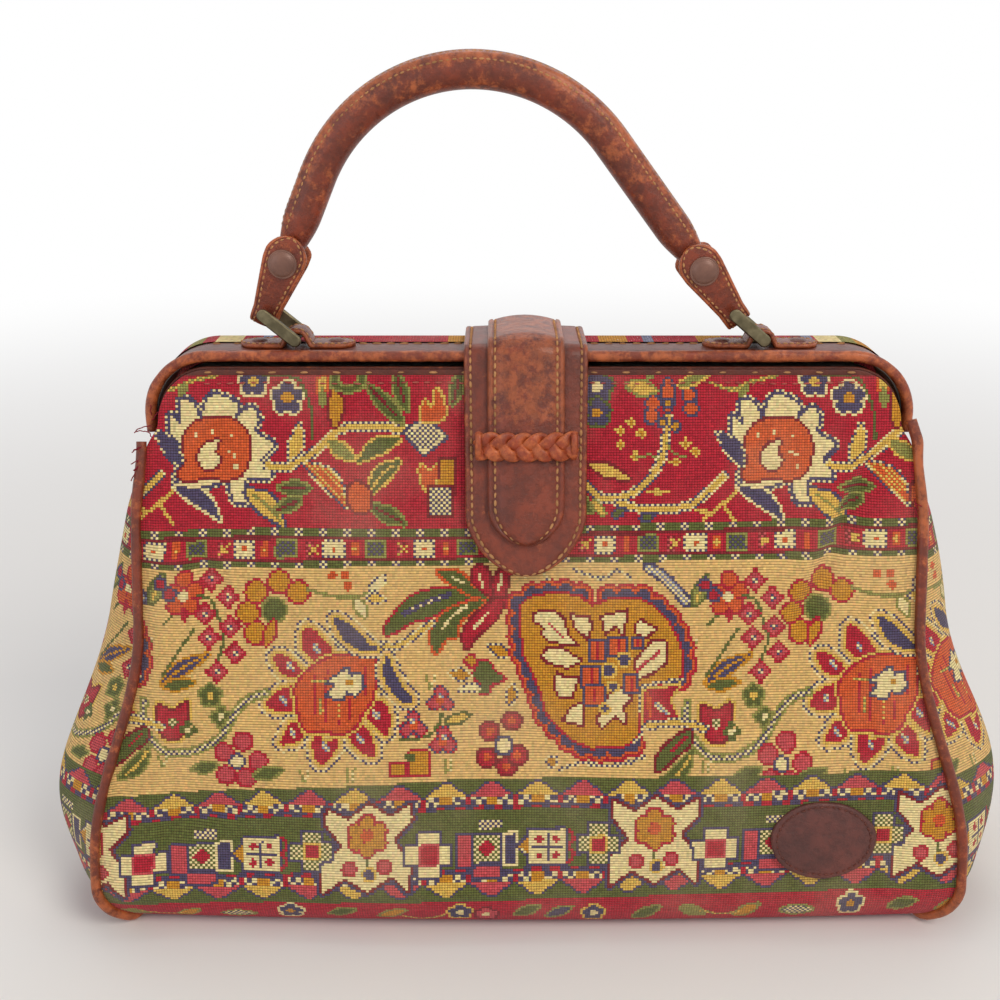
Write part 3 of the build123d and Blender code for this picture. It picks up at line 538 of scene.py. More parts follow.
def finish_of(name):
    """The bag's materials, made once from the colours in the panel."""
    if name not in MATERIALS:
        leather, cloth = bpy.context.scene.bag_leather, bpy.context.scene.bag_cloth
        body, shade, worn, thread = leather.body, leather.shade, leather.worn, leather.thread

        def toned(share, colour=body):
            return [share * c for c in colour]

        makers = {
            "tapestry": (tapestry_material, cloth),
            "leather": (leather_material, "Brown leather", body, shade, worn, 0.45),
            "strap": (leather_material, "Strap leather", body, shade, worn, 0.2, 0.28, 1.3),
            "handle": (leather_material, "Handle leather", toned(1.05), shade, worn, 0.62, 0.3,
                       0.9),
            "dark": (leather_material, "Dark leather", toned(0.62), shade, worn, 0.15, 0.34),
            "rolled": (leather_material, "Rolled edge leather", toned(1.1), toned(0.75), worn, 0.7,
                       0.34),
            "piping": (leather_material, "Piping leather", toned(1.05), shade, worn, 0.62, 0.34,
                       0.6),
            "plait": (leather_material, "Plaited leather", toned(1.5), body, worn, 0.75, 0.4, 0.5,
                      90.0),
            "patch": (leather_material, "Patch leather", srgb(112, 56, 46), srgb(66, 34, 30), worn,
                      0.1, 0.42, 1.2),
            "steel": (metal_material, "Frame steel", srgb(150, 148, 144), srgb(122, 120, 116),
                      0.38),
            "bronze": (metal_material, "Dull bronze", leather.bronze, toned(0.5, leather.bronze),
                       0.36),
            "cap": (metal_material, "Enamelled cap", srgb(128, 88, 72), srgb(96, 62, 50), 0.3, 60.0,
                    0.15),
            "thread": (cloth_material, "Waxed thread", thread, toned(0.5, thread), 4000.0, 0.00008),
            "red yarn": (cloth_material, "Red yarn", srgb(196, 52, 70), srgb(130, 28, 42), 4000.0,
                         0.00008),
            "pink thread": (cloth_material, "Pink thread", srgb(226, 128, 112), srgb(170, 70, 66),
                            4000.0, 0.00006),
            "lining": (cloth_material, "Lining cloth", cloth.lining, toned(0.6, cloth.lining)),
            "board": (cloth_material, "Base board", srgb(108, 92, 76), srgb(78, 66, 54), 500.0),
            "filler": (cloth_material, "Filler cord", srgb(190, 176, 150), srgb(140, 126, 104),
                       1500.0),
        }
        maker, *values = makers[name]
        MATERIALS[name] = maker(*values)
    return MATERIALS[name]


# ---- stitches and loose threads, from node trees

def thread_tree(name, result, given, nodes, links):
    """Node tree from its inputs, its nodes, and lines of text that name each link's two sockets."""
    tree = bpy.data.node_groups.new(name, "GeometryNodeTree")
    for label, (kind, default) in given.items():
        socket = tree.interface.new_socket(name=label, in_out="INPUT",
                                           socket_type="NodeSocket" + kind)
        if default is not None:
            socket.default_value = default
    tree.interface.new_socket(name=result, in_out="OUTPUT", socket_type="NodeSocketGeometry")
    made = {"given": tree.nodes.new("NodeGroupInput"), "result": tree.nodes.new("NodeGroupOutput")}
    for key, (kind, values) in nodes.items():
        made[key] = fit(tree.nodes.new(kind), values)
    for line in links.strip().splitlines():
        (source, out), (target, into) = (end.strip().split(".") for end in line.split(">"))
        out, into = (int(socket) if socket.isdigit() else socket for socket in (out, into))
        tree.links.new(made[source].outputs[out], made[target].inputs[into])
    return tree


def stitch_tree():
    """Node tree that lays one rounded stitch after another along each line of its mesh."""
    return thread_tree("Stitch row", "Stitches", {
        "Lines": ("Geometry", None), "Pitch": ("Float", 0.003), "Length": ("Float", 0.0024),
        "Thickness": ("Float", 0.0008), "Unevenness": ("Float", 0.12), "Seed": ("Int", 3),
        "Thread": ("Material", None),
    }, {
        "curve": ("GeometryNodeMeshToCurve", {}),
        "spaced": ("GeometryNodeResampleCurve", {"mode": "LENGTH"}),
        "tangent": ("GeometryNodeInputTangent", {}),
        "turn": ("FunctionNodeAlignRotationToVector", {"axis": "X"}),
        "bead": ("GeometryNodeMeshUVSphere", {"Segments": 8, "Rings": 5, "Radius": 0.5}),
        "size": ("ShaderNodeCombineXYZ", {}),
        "low": ("ShaderNodeMath", {"operation": "SUBTRACT", 0: 1.0}),
        "high": ("ShaderNodeMath", {"operation": "ADD", 0: 1.0}),
        "chance": ("FunctionNodeRandomValue", {}),
        "scale": ("ShaderNodeVectorMath", {"operation": "SCALE"}),
        "tilt": ("FunctionNodeRandomValue", {"data_type": "FLOAT_VECTOR", 0: (-0.1, -0.1, -0.1),
                                             1: (0.1, 0.1, 0.1)}),
        "euler": ("FunctionNodeEulerToRotation", {}),
        "rotate": ("FunctionNodeRotateRotation", {"rotation_space": "LOCAL"}),
        "place": ("GeometryNodeInstanceOnPoints", {}),
        "real": ("GeometryNodeRealizeInstances", {}),
        "paint": ("GeometryNodeSetMaterial", {}),
    }, """
        given.Lines > curve.Mesh
        curve.Curve > spaced.Curve
        given.Pitch > spaced.Length
        tangent.0 > turn.Vector
        given.Length > size.X
        given.Thickness > size.Y
        given.Thickness > size.Z
        given.Unevenness > low.1
        given.Unevenness > high.1
        low.0 > chance.2
        high.0 > chance.3
        given.Seed > chance.Seed
        given.Seed > tilt.Seed
        tilt.0 > euler.0
        turn.0 > rotate.0
        euler.0 > rotate.1
        size.0 > scale.0
        chance.1 > scale.Scale
        spaced.Curve > place.Points
        bead.Mesh > place.Instance
        rotate.0 > place.Rotation
        scale.0 > place.Scale
        place.0 > real.0
        real.0 > paint.Geometry
        given.Thread > paint.Material
        paint.0 > result.0
    """)


def strand_tree():
    """Node tree that turns each line of its mesh into a thin twisted thread."""
    return thread_tree("Loose thread", "Threads", {
        "Lines": ("Geometry", None), "Thickness": ("Float", 0.0003), "Wander": ("Float", 0.0006),
        "Seed": ("Int", 3), "Thread": ("Material", None),
    }, {
        "curve": ("GeometryNodeMeshToCurve", {}),
        "drift": ("FunctionNodeRandomValue", {"data_type": "FLOAT_VECTOR"}),
        "flip": ("ShaderNodeMath", {"operation": "MULTIPLY", 1: -1.0}),
        "move": ("GeometryNodeSetPosition", {}),
        "round": ("GeometryNodeCurvePrimitiveCircle", {"Resolution": 5}),
        "half": ("ShaderNodeMath", {"operation": "MULTIPLY", 1: 0.5}),
        "skin": ("GeometryNodeCurveToMesh", {"Fill Caps": True}),
        "real": ("GeometryNodeRealizeInstances", {}),
        "paint": ("GeometryNodeSetMaterial", {}),
    }, """
        given.Lines > curve.Mesh
        given.Wander > flip.0
        flip.0 > drift.0
        given.Wander > drift.1
        given.Seed > drift.Seed
        curve.0 > move.Geometry
        drift.0 > move.Offset
        given.Thickness > half.0
        half.0 > round.Radius
        move.0 > skin.Curve
        round.0 > skin.Profile Curve
        skin.0 > real.0
        real.0 > paint.Geometry
        given.Thread > paint.Material
        paint.0 > result.0
    """)


def grow(name, tree_maker, lines, body, slot, **values):
    """Runs a node tree over lines in millimetres and keeps the result as a plain mesh."""
    tree = bpy.data.node_groups.get(tree_maker.__name__) or tree_maker()
    tree.name = tree_maker.__name__
    points, edges = [], []
    for line in lines:
        start = len(points)
        points += [tuple(p) for p in np.asarray(line, float) * MM]
        edges += [(i, i + 1) for i in range(start, len(points) - 1)]
    guide_mesh = bpy.data.meshes.new(name + "_lines")
    guide_mesh.from_pydata(points, edges, [])
    guide = in_scene(name + "_lines", guide_mesh)
    modifier = guide.modifiers.new("Rows", "NODES")
    modifier.node_group = tree
    for item in tree.interface.items_tree:
        if item.item_type == "SOCKET" and item.in_out == "INPUT" and item.name in values:
            modifier[item.identifier] = values[item.name]
    found = guide.evaluated_get(bpy.context.evaluated_depsgraph_get())
    mesh = bpy.data.meshes.new_from_object(found)
    mesh.name = name
    piece = in_scene(name, mesh)
    bpy.data.objects.remove(guide)
    bpy.data.meshes.remove(guide_mesh)
    if not mesh.polygons:
        raise RuntimeError(f"{name} came out empty")
    mesh.polygons.foreach_set("use_smooth", [True] * len(mesh.polygons))
    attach(piece, body)
    return piece


# ---- draft of the tapestry: closed shapes in threads, on a plan with 2.5 units to the millimetre

STITCH = 2.65
DYES = {
    "red": (192, 40, 56), "tan": (230, 188, 116), "gold": (216, 150, 44), "yellow": (238, 194, 90),
    "orange": (226, 98, 48), "green": (104, 110, 54), "olive": (156, 152, 78),
    "navy": (88, 78, 106), "cream": (242, 220, 156), "pink": (212, 84, 88),
    "maroon": (140, 40, 46), "sky": (140, 142, 168),
}
DYE_NAMES = list(DYES)


def curve_through(points, closed=True, steps=5):
    """Smooth line through the given points."""
    points = np.asarray(points, float)
    count = len(points)
    found = []
    for k in range(count if closed else count - 1):
        if closed:
            p0, p1, p2, p3 = (points[(k + j) % count] for j in (-1, 0, 1, 2))
        else:
            p0, p1, p2, p3 = (points[min(max(k + j, 0), count - 1)] for j in (-1, 0, 1, 2))
        for t in np.arange(steps) / steps:
            found.append(0.5 * (2 * p1 + (p2 - p0) * t + (2 * p0 - 5 * p1 + 4 * p2 - p3) * t * t
                                + (3 * p1 - p0 - 3 * p2 + p3) * t ** 3))
    if not closed:
        found.append(points[-1])
    return np.array(found)


def to_segments(x, y, line):
    """Distance from each place to a broken line."""
    best = np.full(x.shape, 1e9)
    for (ax, ay), (bx, by) in zip(line[:-1], line[1:]):
        dx, dy = bx - ax, by - ay
        share = np.clip(((x - ax) * dx + (y - ay) * dy) / max(dx * dx + dy * dy, 1e-9), 0, 1)
        best = np.minimum(best, np.hypot(x - ax - share * dx, y - ay - share * dy))
    return best


def inside_outline(x, y, outline):
    inside = np.zeros(x.shape, bool)
    before = outline[-1]
    for here in outline:
        if abs(here[1] - before[1]) > 1e-9:
            crosses = ((here[1] > y) != (before[1] > y))
            at = (before[0] - here[0]) * (y - here[1]) / (before[1] - here[1]) + here[0]
            inside ^= crosses & (x < at)
        before = here
    return inside


def places(points):
    """Array of points; text has commas inside a point and spaces between points."""
    if isinstance(points, str):
        points = [point.split(",") for point in points.split()]
    return np.asarray(points, float)


class Draft:
    """Thread of every stitch of one cloth."""

    def __init__(self, across, down, ground):
        self.across, self.down = across, down
        self.threads = np.full(across.shape, DYE_NAMES.index(ground))
        rows, columns = np.indices(across.shape)
        self.even = (rows + columns) % 2 == 0
        self.field = np.ones(across.shape, bool)
        self.period = 560.0

    def lay(self, mask, thread):
        """Lays one thread, or two by turns where two names are given with a stroke between."""
        names = thread.split("/")
        mask = mask & self.field
        self.threads[mask & self.even] = DYE_NAMES.index(names[0])
        self.threads[mask & ~self.even] = DYE_NAMES.index(names[-1])

    def paint(self, low, high, depth_of, fill, borders):
        """Fill and borders by depth inside a shape; each border is one stitch wide, outwards."""
        margin = STITCH * (1 + len(borders))
        middle = (low[0] + high[0]) / 2
        local = (self.across - middle + self.period / 2) % self.period - self.period / 2 + middle
        near = (local > low[0] - margin) & (local < high[0] + margin)
        near &= (self.down > low[1] - margin) & (self.down < high[1] + margin) & self.field
        if not near.any():
            return
        depth = np.full(self.across.shape, -1e9)
        depth[near] = depth_of(local[near], self.down[near])
        reach = STITCH * len(borders)
        for thread in reversed(borders):
            self.lay(depth > -reach, thread)
            reach -= STITCH
        if fill:
            self.lay(depth > 0, fill)

    def shape(self, points, fill, *borders, curved=True):
        outline = curve_through(places(points)) if curved else places(points)

        def depth_of(x, y):
            away = to_segments(x, y, np.vstack([outline, outline[:1]]))
            return np.where(inside_outline(x, y, outline), away, -away)

        self.paint(outline.min(0), outline.max(0), depth_of, fill, borders)

    def stroke(self, points, width, fill, *borders):
        line = curve_through(places(points), closed=False)
        half = width / 2
        self.paint(line.min(0) - half, line.max(0) + half,
                   lambda x, y: half - to_segments(x, y, line), fill, borders)

    def leaf(self, root, tip, width, fill, *borders, bend=0.0, vein=None):
        root, tip = np.asarray(root, float), np.asarray(tip, float)
        way = tip - root
        side = np.array([-way[1], way[0]]) / max(np.hypot(*way), 1e-9)
        spots = np.array([0.0, 0.18, 0.42, 0.68, 0.88, 1.0])
        swell = np.array([0.0, 0.62, 1.0, 0.78, 0.34, 0.0]) * width / 2
        middle = root + spots[:, None] * way + (bend * np.sin(np.pi * spots))[:, None] * side
        reach = swell[:, None] * side
        outline = np.vstack([middle + reach, (middle - reach)[-2:0:-1]])
        self.shape(outline, fill, *borders)
        if vein:
            self.stroke(middle[1:-1], STITCH, vein)

    def dots(self, centres, radius, fill, *borders):
        centres = places(centres)

        def depth_of(x, y):
            return np.max([radius - np.hypot(x - u, y - v) for u, v in centres], 0)

        self.paint(centres.min(0) - radius, centres.max(0) + radius, depth_of, fill, borders)

    def block(self, centre, width, height, fill, *borders):
        (u, v), half, tall = centre, width / 2, height / 2
        self.shape([(u - half, v - tall), (u + half, v - tall), (u + half, v + tall),
                    (u - half, v + tall)], fill, *borders, curved=False)

    def star(self, centre, reach, fill, *borders, points=4, inner=0.45, turn=0.0):
        spots = []
        for k in range(2 * points):
            r = reach if k % 2 == 0 else reach * inner
            a = math.pi * k / points + turn
            spots.append((centre[0] + r * math.sin(a), centre[1] - r * math.cos(a)))
        self.shape(spots, fill, *borders, curved=False)

    def blossom(self, centre, reach, petal, heart, *borders, count=5, turn=0.0):
        ring = [(centre[0] + 0.62 * reach * math.sin(2 * math.pi * k / count + turn),
                 centre[1] - 0.62 * reach * math.cos(2 * math.pi * k / count + turn))
                for k in range(count)]
        self.dots(ring, reach * 0.42, petal, *borders)
        self.dots([centre], reach * 0.36, heart)


def band_of(across, down, sagging):
    """Edges of the bands across the cloth, and each stitch's place between them."""
    lines = [
        [(143, 530), (287, 524), (448, 525), (600, 521), (800, 517), (910, 516)],
        [(154, 566.5), (304, 563), (464, 559.6), (654, 557), (900, 553)],
        [(124, 796.7), (270, 784), (463, 774), (654, 769.6), (814, 767.3), (930, 766)],
        [(124, 909), (270, 902), (463, 896), (650, 892), (930, 888)],
    ]
    level_marks = [372.0, 522.0, 560.0, 776.0, 897.0, 938.0]
    edges = [np.full(across.shape, 372.0)]
    for line, mark in zip(lines, level_marks[1:-1]):
        u, v = zip(*line)
        edges.append(np.interp(across, u, v) if sagging else np.full(across.shape, mark))
    edges.append(np.full(across.shape, 938.0))
    level = down.copy()
    for low, high, start, end in zip(edges, edges[1:], level_marks, level_marks[1:]):
        between = (down >= low) & (down < high)
        level[between] = (start + (down - low) / (high - low) * (end - start))[between]
    return level


def red_band(draft):
    """Wide red band: palmettes with a feathered vine, leaves, flames and blossoms between."""
    shape, stroke, leaf, dots, block, star, blossom = (draft.shape, draft.stroke, draft.leaf,
                                                       draft.dots, draft.block, draft.star,
                                                       draft.blossom)
    draft.period = 561.0
    bead = "navy/cream"
    crown = places("171,414 180,424 180,400 193,403 200,418 208,398 220,395 237,404 235,418 250,407 "
                   "258,418 255,432 273,444 261,459 270,475 246,478 247,499 234,498 229,480 207,484 "
                   "188,487 178,474 182,456 172,436")
    shape(crown, "cream", "navy", bead)
    shape("183,440 192,424 207,418 229,418 246,431 250,451 243,471 229,478 207,476 188,480 180,472 "
          "186,459", "orange", "maroon")
    shape("200,451 207,443 218,440 215,451 220,459 215,467 206,468 199,459", "cream", "maroon")
    for spot in places("212,432 231,435 229,451 234,454 196,434 236,466"):
        dots([spot], 2.4, "cream")
    leaf((180, 464), (155, 430), 15, "navy", bead, bend=3)
    stroke("176,466 174,478 175,488", 4, "navy/cream")
    stroke("178,486 166,496 152,508 141,516", 4, "yellow")
    stroke("160,500 166,510 174,521", 4, "yellow")
    leaf((176, 486), (222, 520), 15, "navy", "cream", bend=-6)
    leaf((246, 489), (285, 523), 20, "yellow", "navy", bend=-4, vein="olive")
    vine = places("267,464 285,466 298,460 314,451 328,438 341,428 368,426 403,428 416,431")
    stroke(vine, 5.5, "yellow", bead)
    shape("408,432 424,421 442,436 424,449", "cream/navy", "cream", "navy", curved=False)
    leaf((289, 459), (299, 422), 13, "yellow", bead, bend=3)
    leaf((306, 462), (347, 503), 17, "yellow/orange", bead, bend=-6, vein="orange")
    for root, tip, width in (((311, 486), (278, 486), 13), ((302, 497), (276, 508), 12),
                             ((403, 422), (366, 383), 14), ((407, 410), (394, 369), 13),
                             ((372, 502), (407, 520), 14), ((460, 372), (452, 404), 12)):
        leaf(root, tip, width, "green", "olive", vein="maroon")
    leaf((328, 440), (355, 458), 13, "olive", "yellow")
    leaf((399, 438), (358, 460), 15, "green", "yellow", bend=4)
    leaf((400, 459), (370, 493), 16, "green", "yellow", bend=5, vein="yellow")
    shape("350,484 360,480 371,490 369,506 358,509 349,498", "orange", "maroon")
    for flame in ("421,419 424,400 432,408 436,388 444,404 441,419", "421,462 430,470 437,463 "
                  "436,478 429,488 421,476"):
        shape(flame, "orange", "yellow")
    block((446, 474), 14, 32, "gold", "maroon")
    block((441, 498), 22, 26, "navy/cream", "maroon")
    blossom((253, 381), 14, "navy", "yellow", "cream")
    blossom((287, 397), 16, "navy", "gold", "cream")
    stroke("261,373 293,376 304,389 312,414 313,438", 3, "green")
    shape("317,380 325,376 327,386 320,393", "yellow", "orange")
    shape("332,390 342,398 341,414 335,426 329,412", "gold", "maroon")
    leaf((322, 408), (322, 386), 10, "olive")
    stroke("334,372 334,384 347,388 360,384 361,372", 5, "green", "olive")
    stroke("150,382 170,389 186,382 200,378 216,374", 4, "yellow/olive")
    leaf((186, 382), (178, 398), 9, "olive")
    blossom((596, 386), 16, "navy", "cream", "green")
    blossom((596, 411), 13, "navy", "gold", "green")
    stroke("586,482 598,493 611,496 630,490 646,478 657,462 663,445 667,415", 5, "yellow", bead)
    stroke("617,499 638,505 659,506 688,502 707,488 722,474", 5, "yellow", bead)
    leaf((588, 461), (628, 475), 12, "yellow", "maroon")
    leaf((644, 488), (669, 489), 6, "yellow")
    leaf((690, 505), (716, 512), 6, "yellow")
    leaf((592, 498), (603, 511), 6, "yellow", "olive")
    dots("652,401 650,414 690,407 688,394", 6, "orange", "navy")
    leaf((667, 410), (667, 377), 13, "orange", "navy")
    dots("667,402 661,420 674,424", 3.5, "gold", "navy")
    leaf((626, 384), (655, 390), 13, "yellow", "olive")
    leaf((646, 380), (652, 368), 9, "olive")
    leaf((678, 385), (709, 371), 9, "olive", "yellow")
    for u, v in places("619,428 630,420 640,431 619,442 634,453 684,441 694,449 674,459"):
        star((u, v), 6.5, "yellow", points=4, inner=0.6)
        dots([(u, v)], 2.2, "gold")
    stroke("634,455 648,452 658,457", 2.6, "olive")
    stroke("684,455 672,450 666,440", 2.6, "olive")
    leaf((612, 512), (622, 506), 6, "green", "navy")
    leaf((640, 516), (652, 510), 6, "green", "navy")
    blossom((560, 470), 15, "pink", "cream", "maroon")
    leaf((572, 480), (590, 508), 13, "green", "olive", bend=3)
    leaf((548, 484), (520, 506), 14, "green", "yellow", bend=-3)
    stroke("476,440 500,452 528,448 548,456", 4, "yellow", "navy")


def narrow_border(draft):
    """Row of framed boxes between two broken lines."""
    block, star = draft.block, draft.star
    draft.period = 89.6
    across, level = (draft.across, draft.down)
    beat = np.floor(across / 8.0).astype(int) % 3
    for low, high in ((522, 529), (554, 560)):
        line = (level >= low) & (level < high)
        draft.lay(line, "green")
        draft.lay(line & (beat == 1), "cream/navy")
    for low, high in ((529, 533), (551.5, 554)):
        draft.lay((level >= low) & (level < high), "maroon")
    block((156, 542), 17, 13, "cream", "navy/cream")
    block((156, 542), 5, 5, "orange")
    block((198, 542), 17, 13, "navy/green", "olive")
    block((177, 542), 7, 15, "orange")
    block((222, 542), 7, 15, "pink/maroon")
    star((136, 542), 8, "yellow", points=4, inner=0.3, turn=math.pi / 4)
    star((177, 542), 4, "yellow", points=4, inner=0.3)


def tan_band(draft):
    """Tan band: lotus blossoms, a shaped medallion and small garden flowers on their stems."""
    shape, stroke, leaf, dots, block, star, blossom = (draft.shape, draft.stroke, draft.leaf,
                                                       draft.dots, draft.block, draft.star,
                                                       draft.blossom)
    draft.period = 540.0
    bead = "navy/cream"
    stroke("184,599 178,608 172,613 166,620", 3, "green")
    dots("187,575 177,588 197,586 193,600 178,601", 7, "orange", "red")
    dots("177,588", 5, "navy/red")
    dots("186,591", 5, "cream")
    leaf((187, 601), (187, 618), 8, "red")
    stroke("200,590 214,596 221,615 226,635 219,656", 3, "green")
    for spot in places("213,576 230,593 207,609 232,622 211,633 237,648 219,667"):
        star(spot, 9.5, "pink", "red", inner=0.62)
        dots([spot], 2.8, "navy/cream")
    dots("281,577 300,587 258,587 250,608 258,628", 10, "gold", "red")
    dots("276,605", 11, "green", "olive")
    leaf((276, 616), (268, 640), 10, "gold", "red")
    stroke("310,584 330,590 352,592 372,588", 3.5, "olive")
    dots("334,570 347,570 349,581", 4.5, "orange")
    leaf((372, 584), (386, 572), 8, "cream", bead)
    leaf((368, 592), (386, 594), 7, "yellow", bead)
    leaf((358, 594), (366, 612), 9, "cream", "olive")
    shape("385,628 390,616 404,599 417,589 434,585 463,585 475,592 454,599 432,612 412,617 "
          "395,628", "green", "red")
    stroke("405,609 426,598 449,590", 5.5, "navy")
    stroke("411,605 441,593", 2, "navy/cream")
    shape("437,648 431,638 431,628 441,612 456,602 488,594 480,602 461,616 456,632 446,635",
          "green", "orange")
    stroke("443,624 453,611 466,602", 3.2, "cream")
    shape("439,566 453,566 465,571 474,583 488,592 475,592 456,582 443,573", "green", "orange")
    stroke("452,572 463,578", 2.8, "cream")
    feathers = (("473,565 478,562 487,564 489,577 494,592 481,585 473,575", "479,570 483,583"),
                ("495,590 493,578 498,568 509,565 507,580 504,594", "501,571 499,585"),
                ("504,594 498,611 488,622 475,633 468,645 463,633 468,619 481,606 493,597",
                 "489,607 474,624"))
    for outline, vein in feathers:
        shape(outline, "red", "maroon")
        stroke(vein, 3, "cream")
    halo = ("yellow", "tan", bead)
    lotus_petals = ("306,623 315,624 328,638 334,648 318,656 304,643", "275,651 289,651 306,668 "
                    "297,673 282,667", "268,699 280,685 296,682 294,704 280,706", "294,715 304,722 "
                    "302,734 283,738 287,726", "316,727 324,729 326,736 340,732 338,743 323,758 "
                    "315,744", "351,729 361,719 372,727 376,749 360,744", "368,710 380,695 390,705 "
                    "390,726 382,726")
    for petal in lotus_petals:
        shape(petal, None, *halo)
    for petal in lotus_petals:
        shape(petal, "red", "yellow")
    for spot in places("318,643 292,661 285,694 295,727 328,740 362,732 378,709"):
        leaf((spot[0] - 3, spot[1] - 5), (spot[0] + 3, spot[1] + 6), 6, "sky/cream")
    shape("297,685 306,670 323,657 340,651 351,652 373,654 376,668 373,692 363,707 355,721 338,727 "
          "328,723 311,724 302,712 300,695", "orange", "red", "yellow")
    for u, low, high in places("317,671,706 328,664,716 341,697,718 351,695,712 366,662,690"):
        stroke([(u, low), (u, high)], 2.6, "red")
    shape("329,690 338,679 329,677 348,664 352,671 361,669 364,682 356,689 348,685 343,694",
          "cream", "navy", curved=False)
    dots("351,677", 3.4, "gold")
    stroke("313,676 326,676", 3.5, "olive/yellow")
    stroke("322,694 323,706", 3.5, "yellow/olive")
    stroke("341,697 340,711", 3.5, "yellow/orange")
    shape("336,612 350,619 360,628 373,641 385,643 365,646 346,636 338,623", "navy", *halo)
    shape("388,651 394,665 404,682 414,695 405,698 390,683 384,668", "navy", *halo)
    stroke("386,641 399,641 415,631 431,619", 4, "yellow", bead)
    leaf((164, 679), (210, 650), 13, "navy", "gold", bend=-3, vein="gold")
    leaf((166, 681), (197, 677), 10, "green", "gold")
    stroke("164,672 176,654 188,636 196,624", 3, "green")
    shape("161,701 175,706 189,699 188,716 181,734 168,733 162,720", "red", "maroon", "yellow")
    dots("175,718", 5, "green/cream")
    blossom((190, 726), 9, "green", "cream", count=4)
    blossom((212, 691), 10, "green", "yellow", "olive")
    blossom((223, 712), 9, "green", "cream", "olive", count=4)
    stroke("146,697 146,720 161,745 182,751 205,744 223,732 235,711 249,695 267,688", 4.5,
           "navy/cream", "olive")
    for spot in places("245,736 226,748 260,756 228,772 248,774"):
        dots([spot], 8, "pink", "red")
    dots("239,757", 6, "cream", "navy")
    leaf((256, 772), (284, 764), 11, "green", "olive")
    leaf((218, 762), (194, 768), 10, "green", "olive")
    leaf((120, 779), (151, 743), 14, "green", "olive", bend=4, vein="yellow")
    stroke("442,708 441,717 431,729 416,732 400,732", 3, "green")
    for spot in places("441,695 414,720 444,736"):
        blossom(spot, 12, "pink", "orange", "navy/red", count=3)
        dots([(spot[0], spot[1] - 4)], 3, "sky/cream")
    leaf((446, 719), (470, 710), 9, "yellow", "green")
    block((420, 757), 18, 22, "gold", "red")
    block((399, 763), 15, 12, "gold", "red")
    dots("411,751", 5, "green")
    for spot in places("431,677 448,760 164,759 306,770 352,768 150,640"):
        stroke([(spot[0] - 3, spot[1] - 6), (spot[0] - 2, spot[1] + 6)], 2.6, "olive")
        stroke([(spot[0] + 4, spot[1] - 6), (spot[0] + 2, spot[1] + 6)], 2.6, "olive/cream")
    shape("474,670 481,656 490,658 494,666 504,673 492,679 488,687 480,687 481,679", "green",
          "red")
    dots("471,656", 4.5, "gold", "red")
    leaf((470, 671), (450, 668), 9, "gold", bead)
    leaf((480, 682), (460, 684), 6, "cream", bead)
    leaf((512, 680), (510, 698), 9, "gold", bead)
    leaf((508, 650), (488, 640), 9, "gold", bead)
    for spot in places("512,716 490,727 487,752 507,761 518,750"):
        dots([spot], 8.5, "red", "maroon")
        dots([spot], 4, "orange")
    dots("504,741", 7, "cream", "navy")
    gold_ground = places("521,601 528,594 546,590 566,590 579,592 591,602 607,595 623,594 640,595 "
                         "651,601 666,616 674,630 680,647 680,669 668,675 640,679 638,693 638,726 "
                         "632,734 619,740 591,741 574,735 560,723 546,706 541,686 534,669 525,651 "
                         "521,623")
    ring = np.vstack([gold_ground, gold_ground[:1]])
    rim = resample(np.column_stack([ring, np.zeros(len(ring))]), 34)[:-1]
    middle = np.array([600.0, 664.0])
    lobes = []
    for spot in rim:
        under_petal = spot[0] > 634 and spot[1] > 672
        in_notch = np.hypot(spot[0] - 591, spot[1] - 600) < 7
        if not (under_petal or in_notch):
            lobes.append(spot[:2] + 2.5 * unit(np.append(spot[:2] - middle, 0))[:2])
    dots(lobes, 8.4, "navy", "orange", "red")
    dots(lobes, 8.4, "navy")
    shape(gold_ground, "gold", "red", curved=False)
    stroke("680,673 642,680 640,694 640,727 633,735", 3.5, "navy/cream")
    flames = ("535,609 552,606 562,613 567,630 576,639 549,636 542,629 546,623 535,616", "571,609 "
              "577,613 587,613 590,619 587,632 576,623", "601,612 612,609 626,606 623,619 623,630 "
              "615,619 605,627", "635,620 640,615 646,620 654,623 643,632 635,626", "542,651 "
              "548,643 562,644 580,655 567,661 549,657", "555,681 557,668 564,672 577,672 573,682 "
              "572,690 559,690", "564,714 570,703 581,697 581,719", "597,714 603,700 609,689 "
              "621,682 630,692 621,700 625,717 614,709 601,721", "663,636 651,636 635,655 637,672 "
              "649,667 663,657")
    for flame in flames:
        shape(flame, "cream", "maroon", curved=False)
    stroke("637,664 648,654 658,646", 3.5, "pink/red")
    stroke("548,619 566,633", 3, "pink/cream")
    for u, v, wide, tall in places("597,645,14,20 617,641,16,16 590,670,18,18 594,689,18,16 "
                                   "636,637,8,10 630,678,12,16"):
        block((u, v), wide, tall, "orange", "navy")
        stroke([(u, v - tall / 2 + 2), (u, v + tall / 2 - 2)], 2.4, "red")
    for u, v, r in places("623,653,5.5 608,664,5.5 612,680,4.0 604,702,3.4"):
        dots([(u, v)], r, "navy", "yellow")
    shape("642,684 664,682 678,678 668,693 678,714 649,716 642,717", "red", "yellow", curved=False)
    stroke("647,688 649,708", 4, "orange")
    leaf((652, 696), (668, 708), 7, "sky/cream")
    stroke("647,719 664,717 682,717 703,722", 4, "yellow", "navy/cream")
    shape("654,762 657,748 671,733 688,724 688,737 674,749 661,761", "green", "maroon")
    stroke("670,744 684,730", 3.4, "red")
    stroke("524,572 540,566 548,576", 3, "navy/cream")
    stroke("573,565 586,570 602,574 616,566 630,574", 3.2, "navy/cream")
    stroke("647,563 662,572 674,584 684,596", 7, "sky/cream", "navy")
    stroke("560,764 580,757 602,759 622,757 642,750", 4, "navy/cream")
    dots("552,756", 4, "gold", bead)
    leaf((692, 600), (706, 570), 12, "olive", "green", vein="yellow")
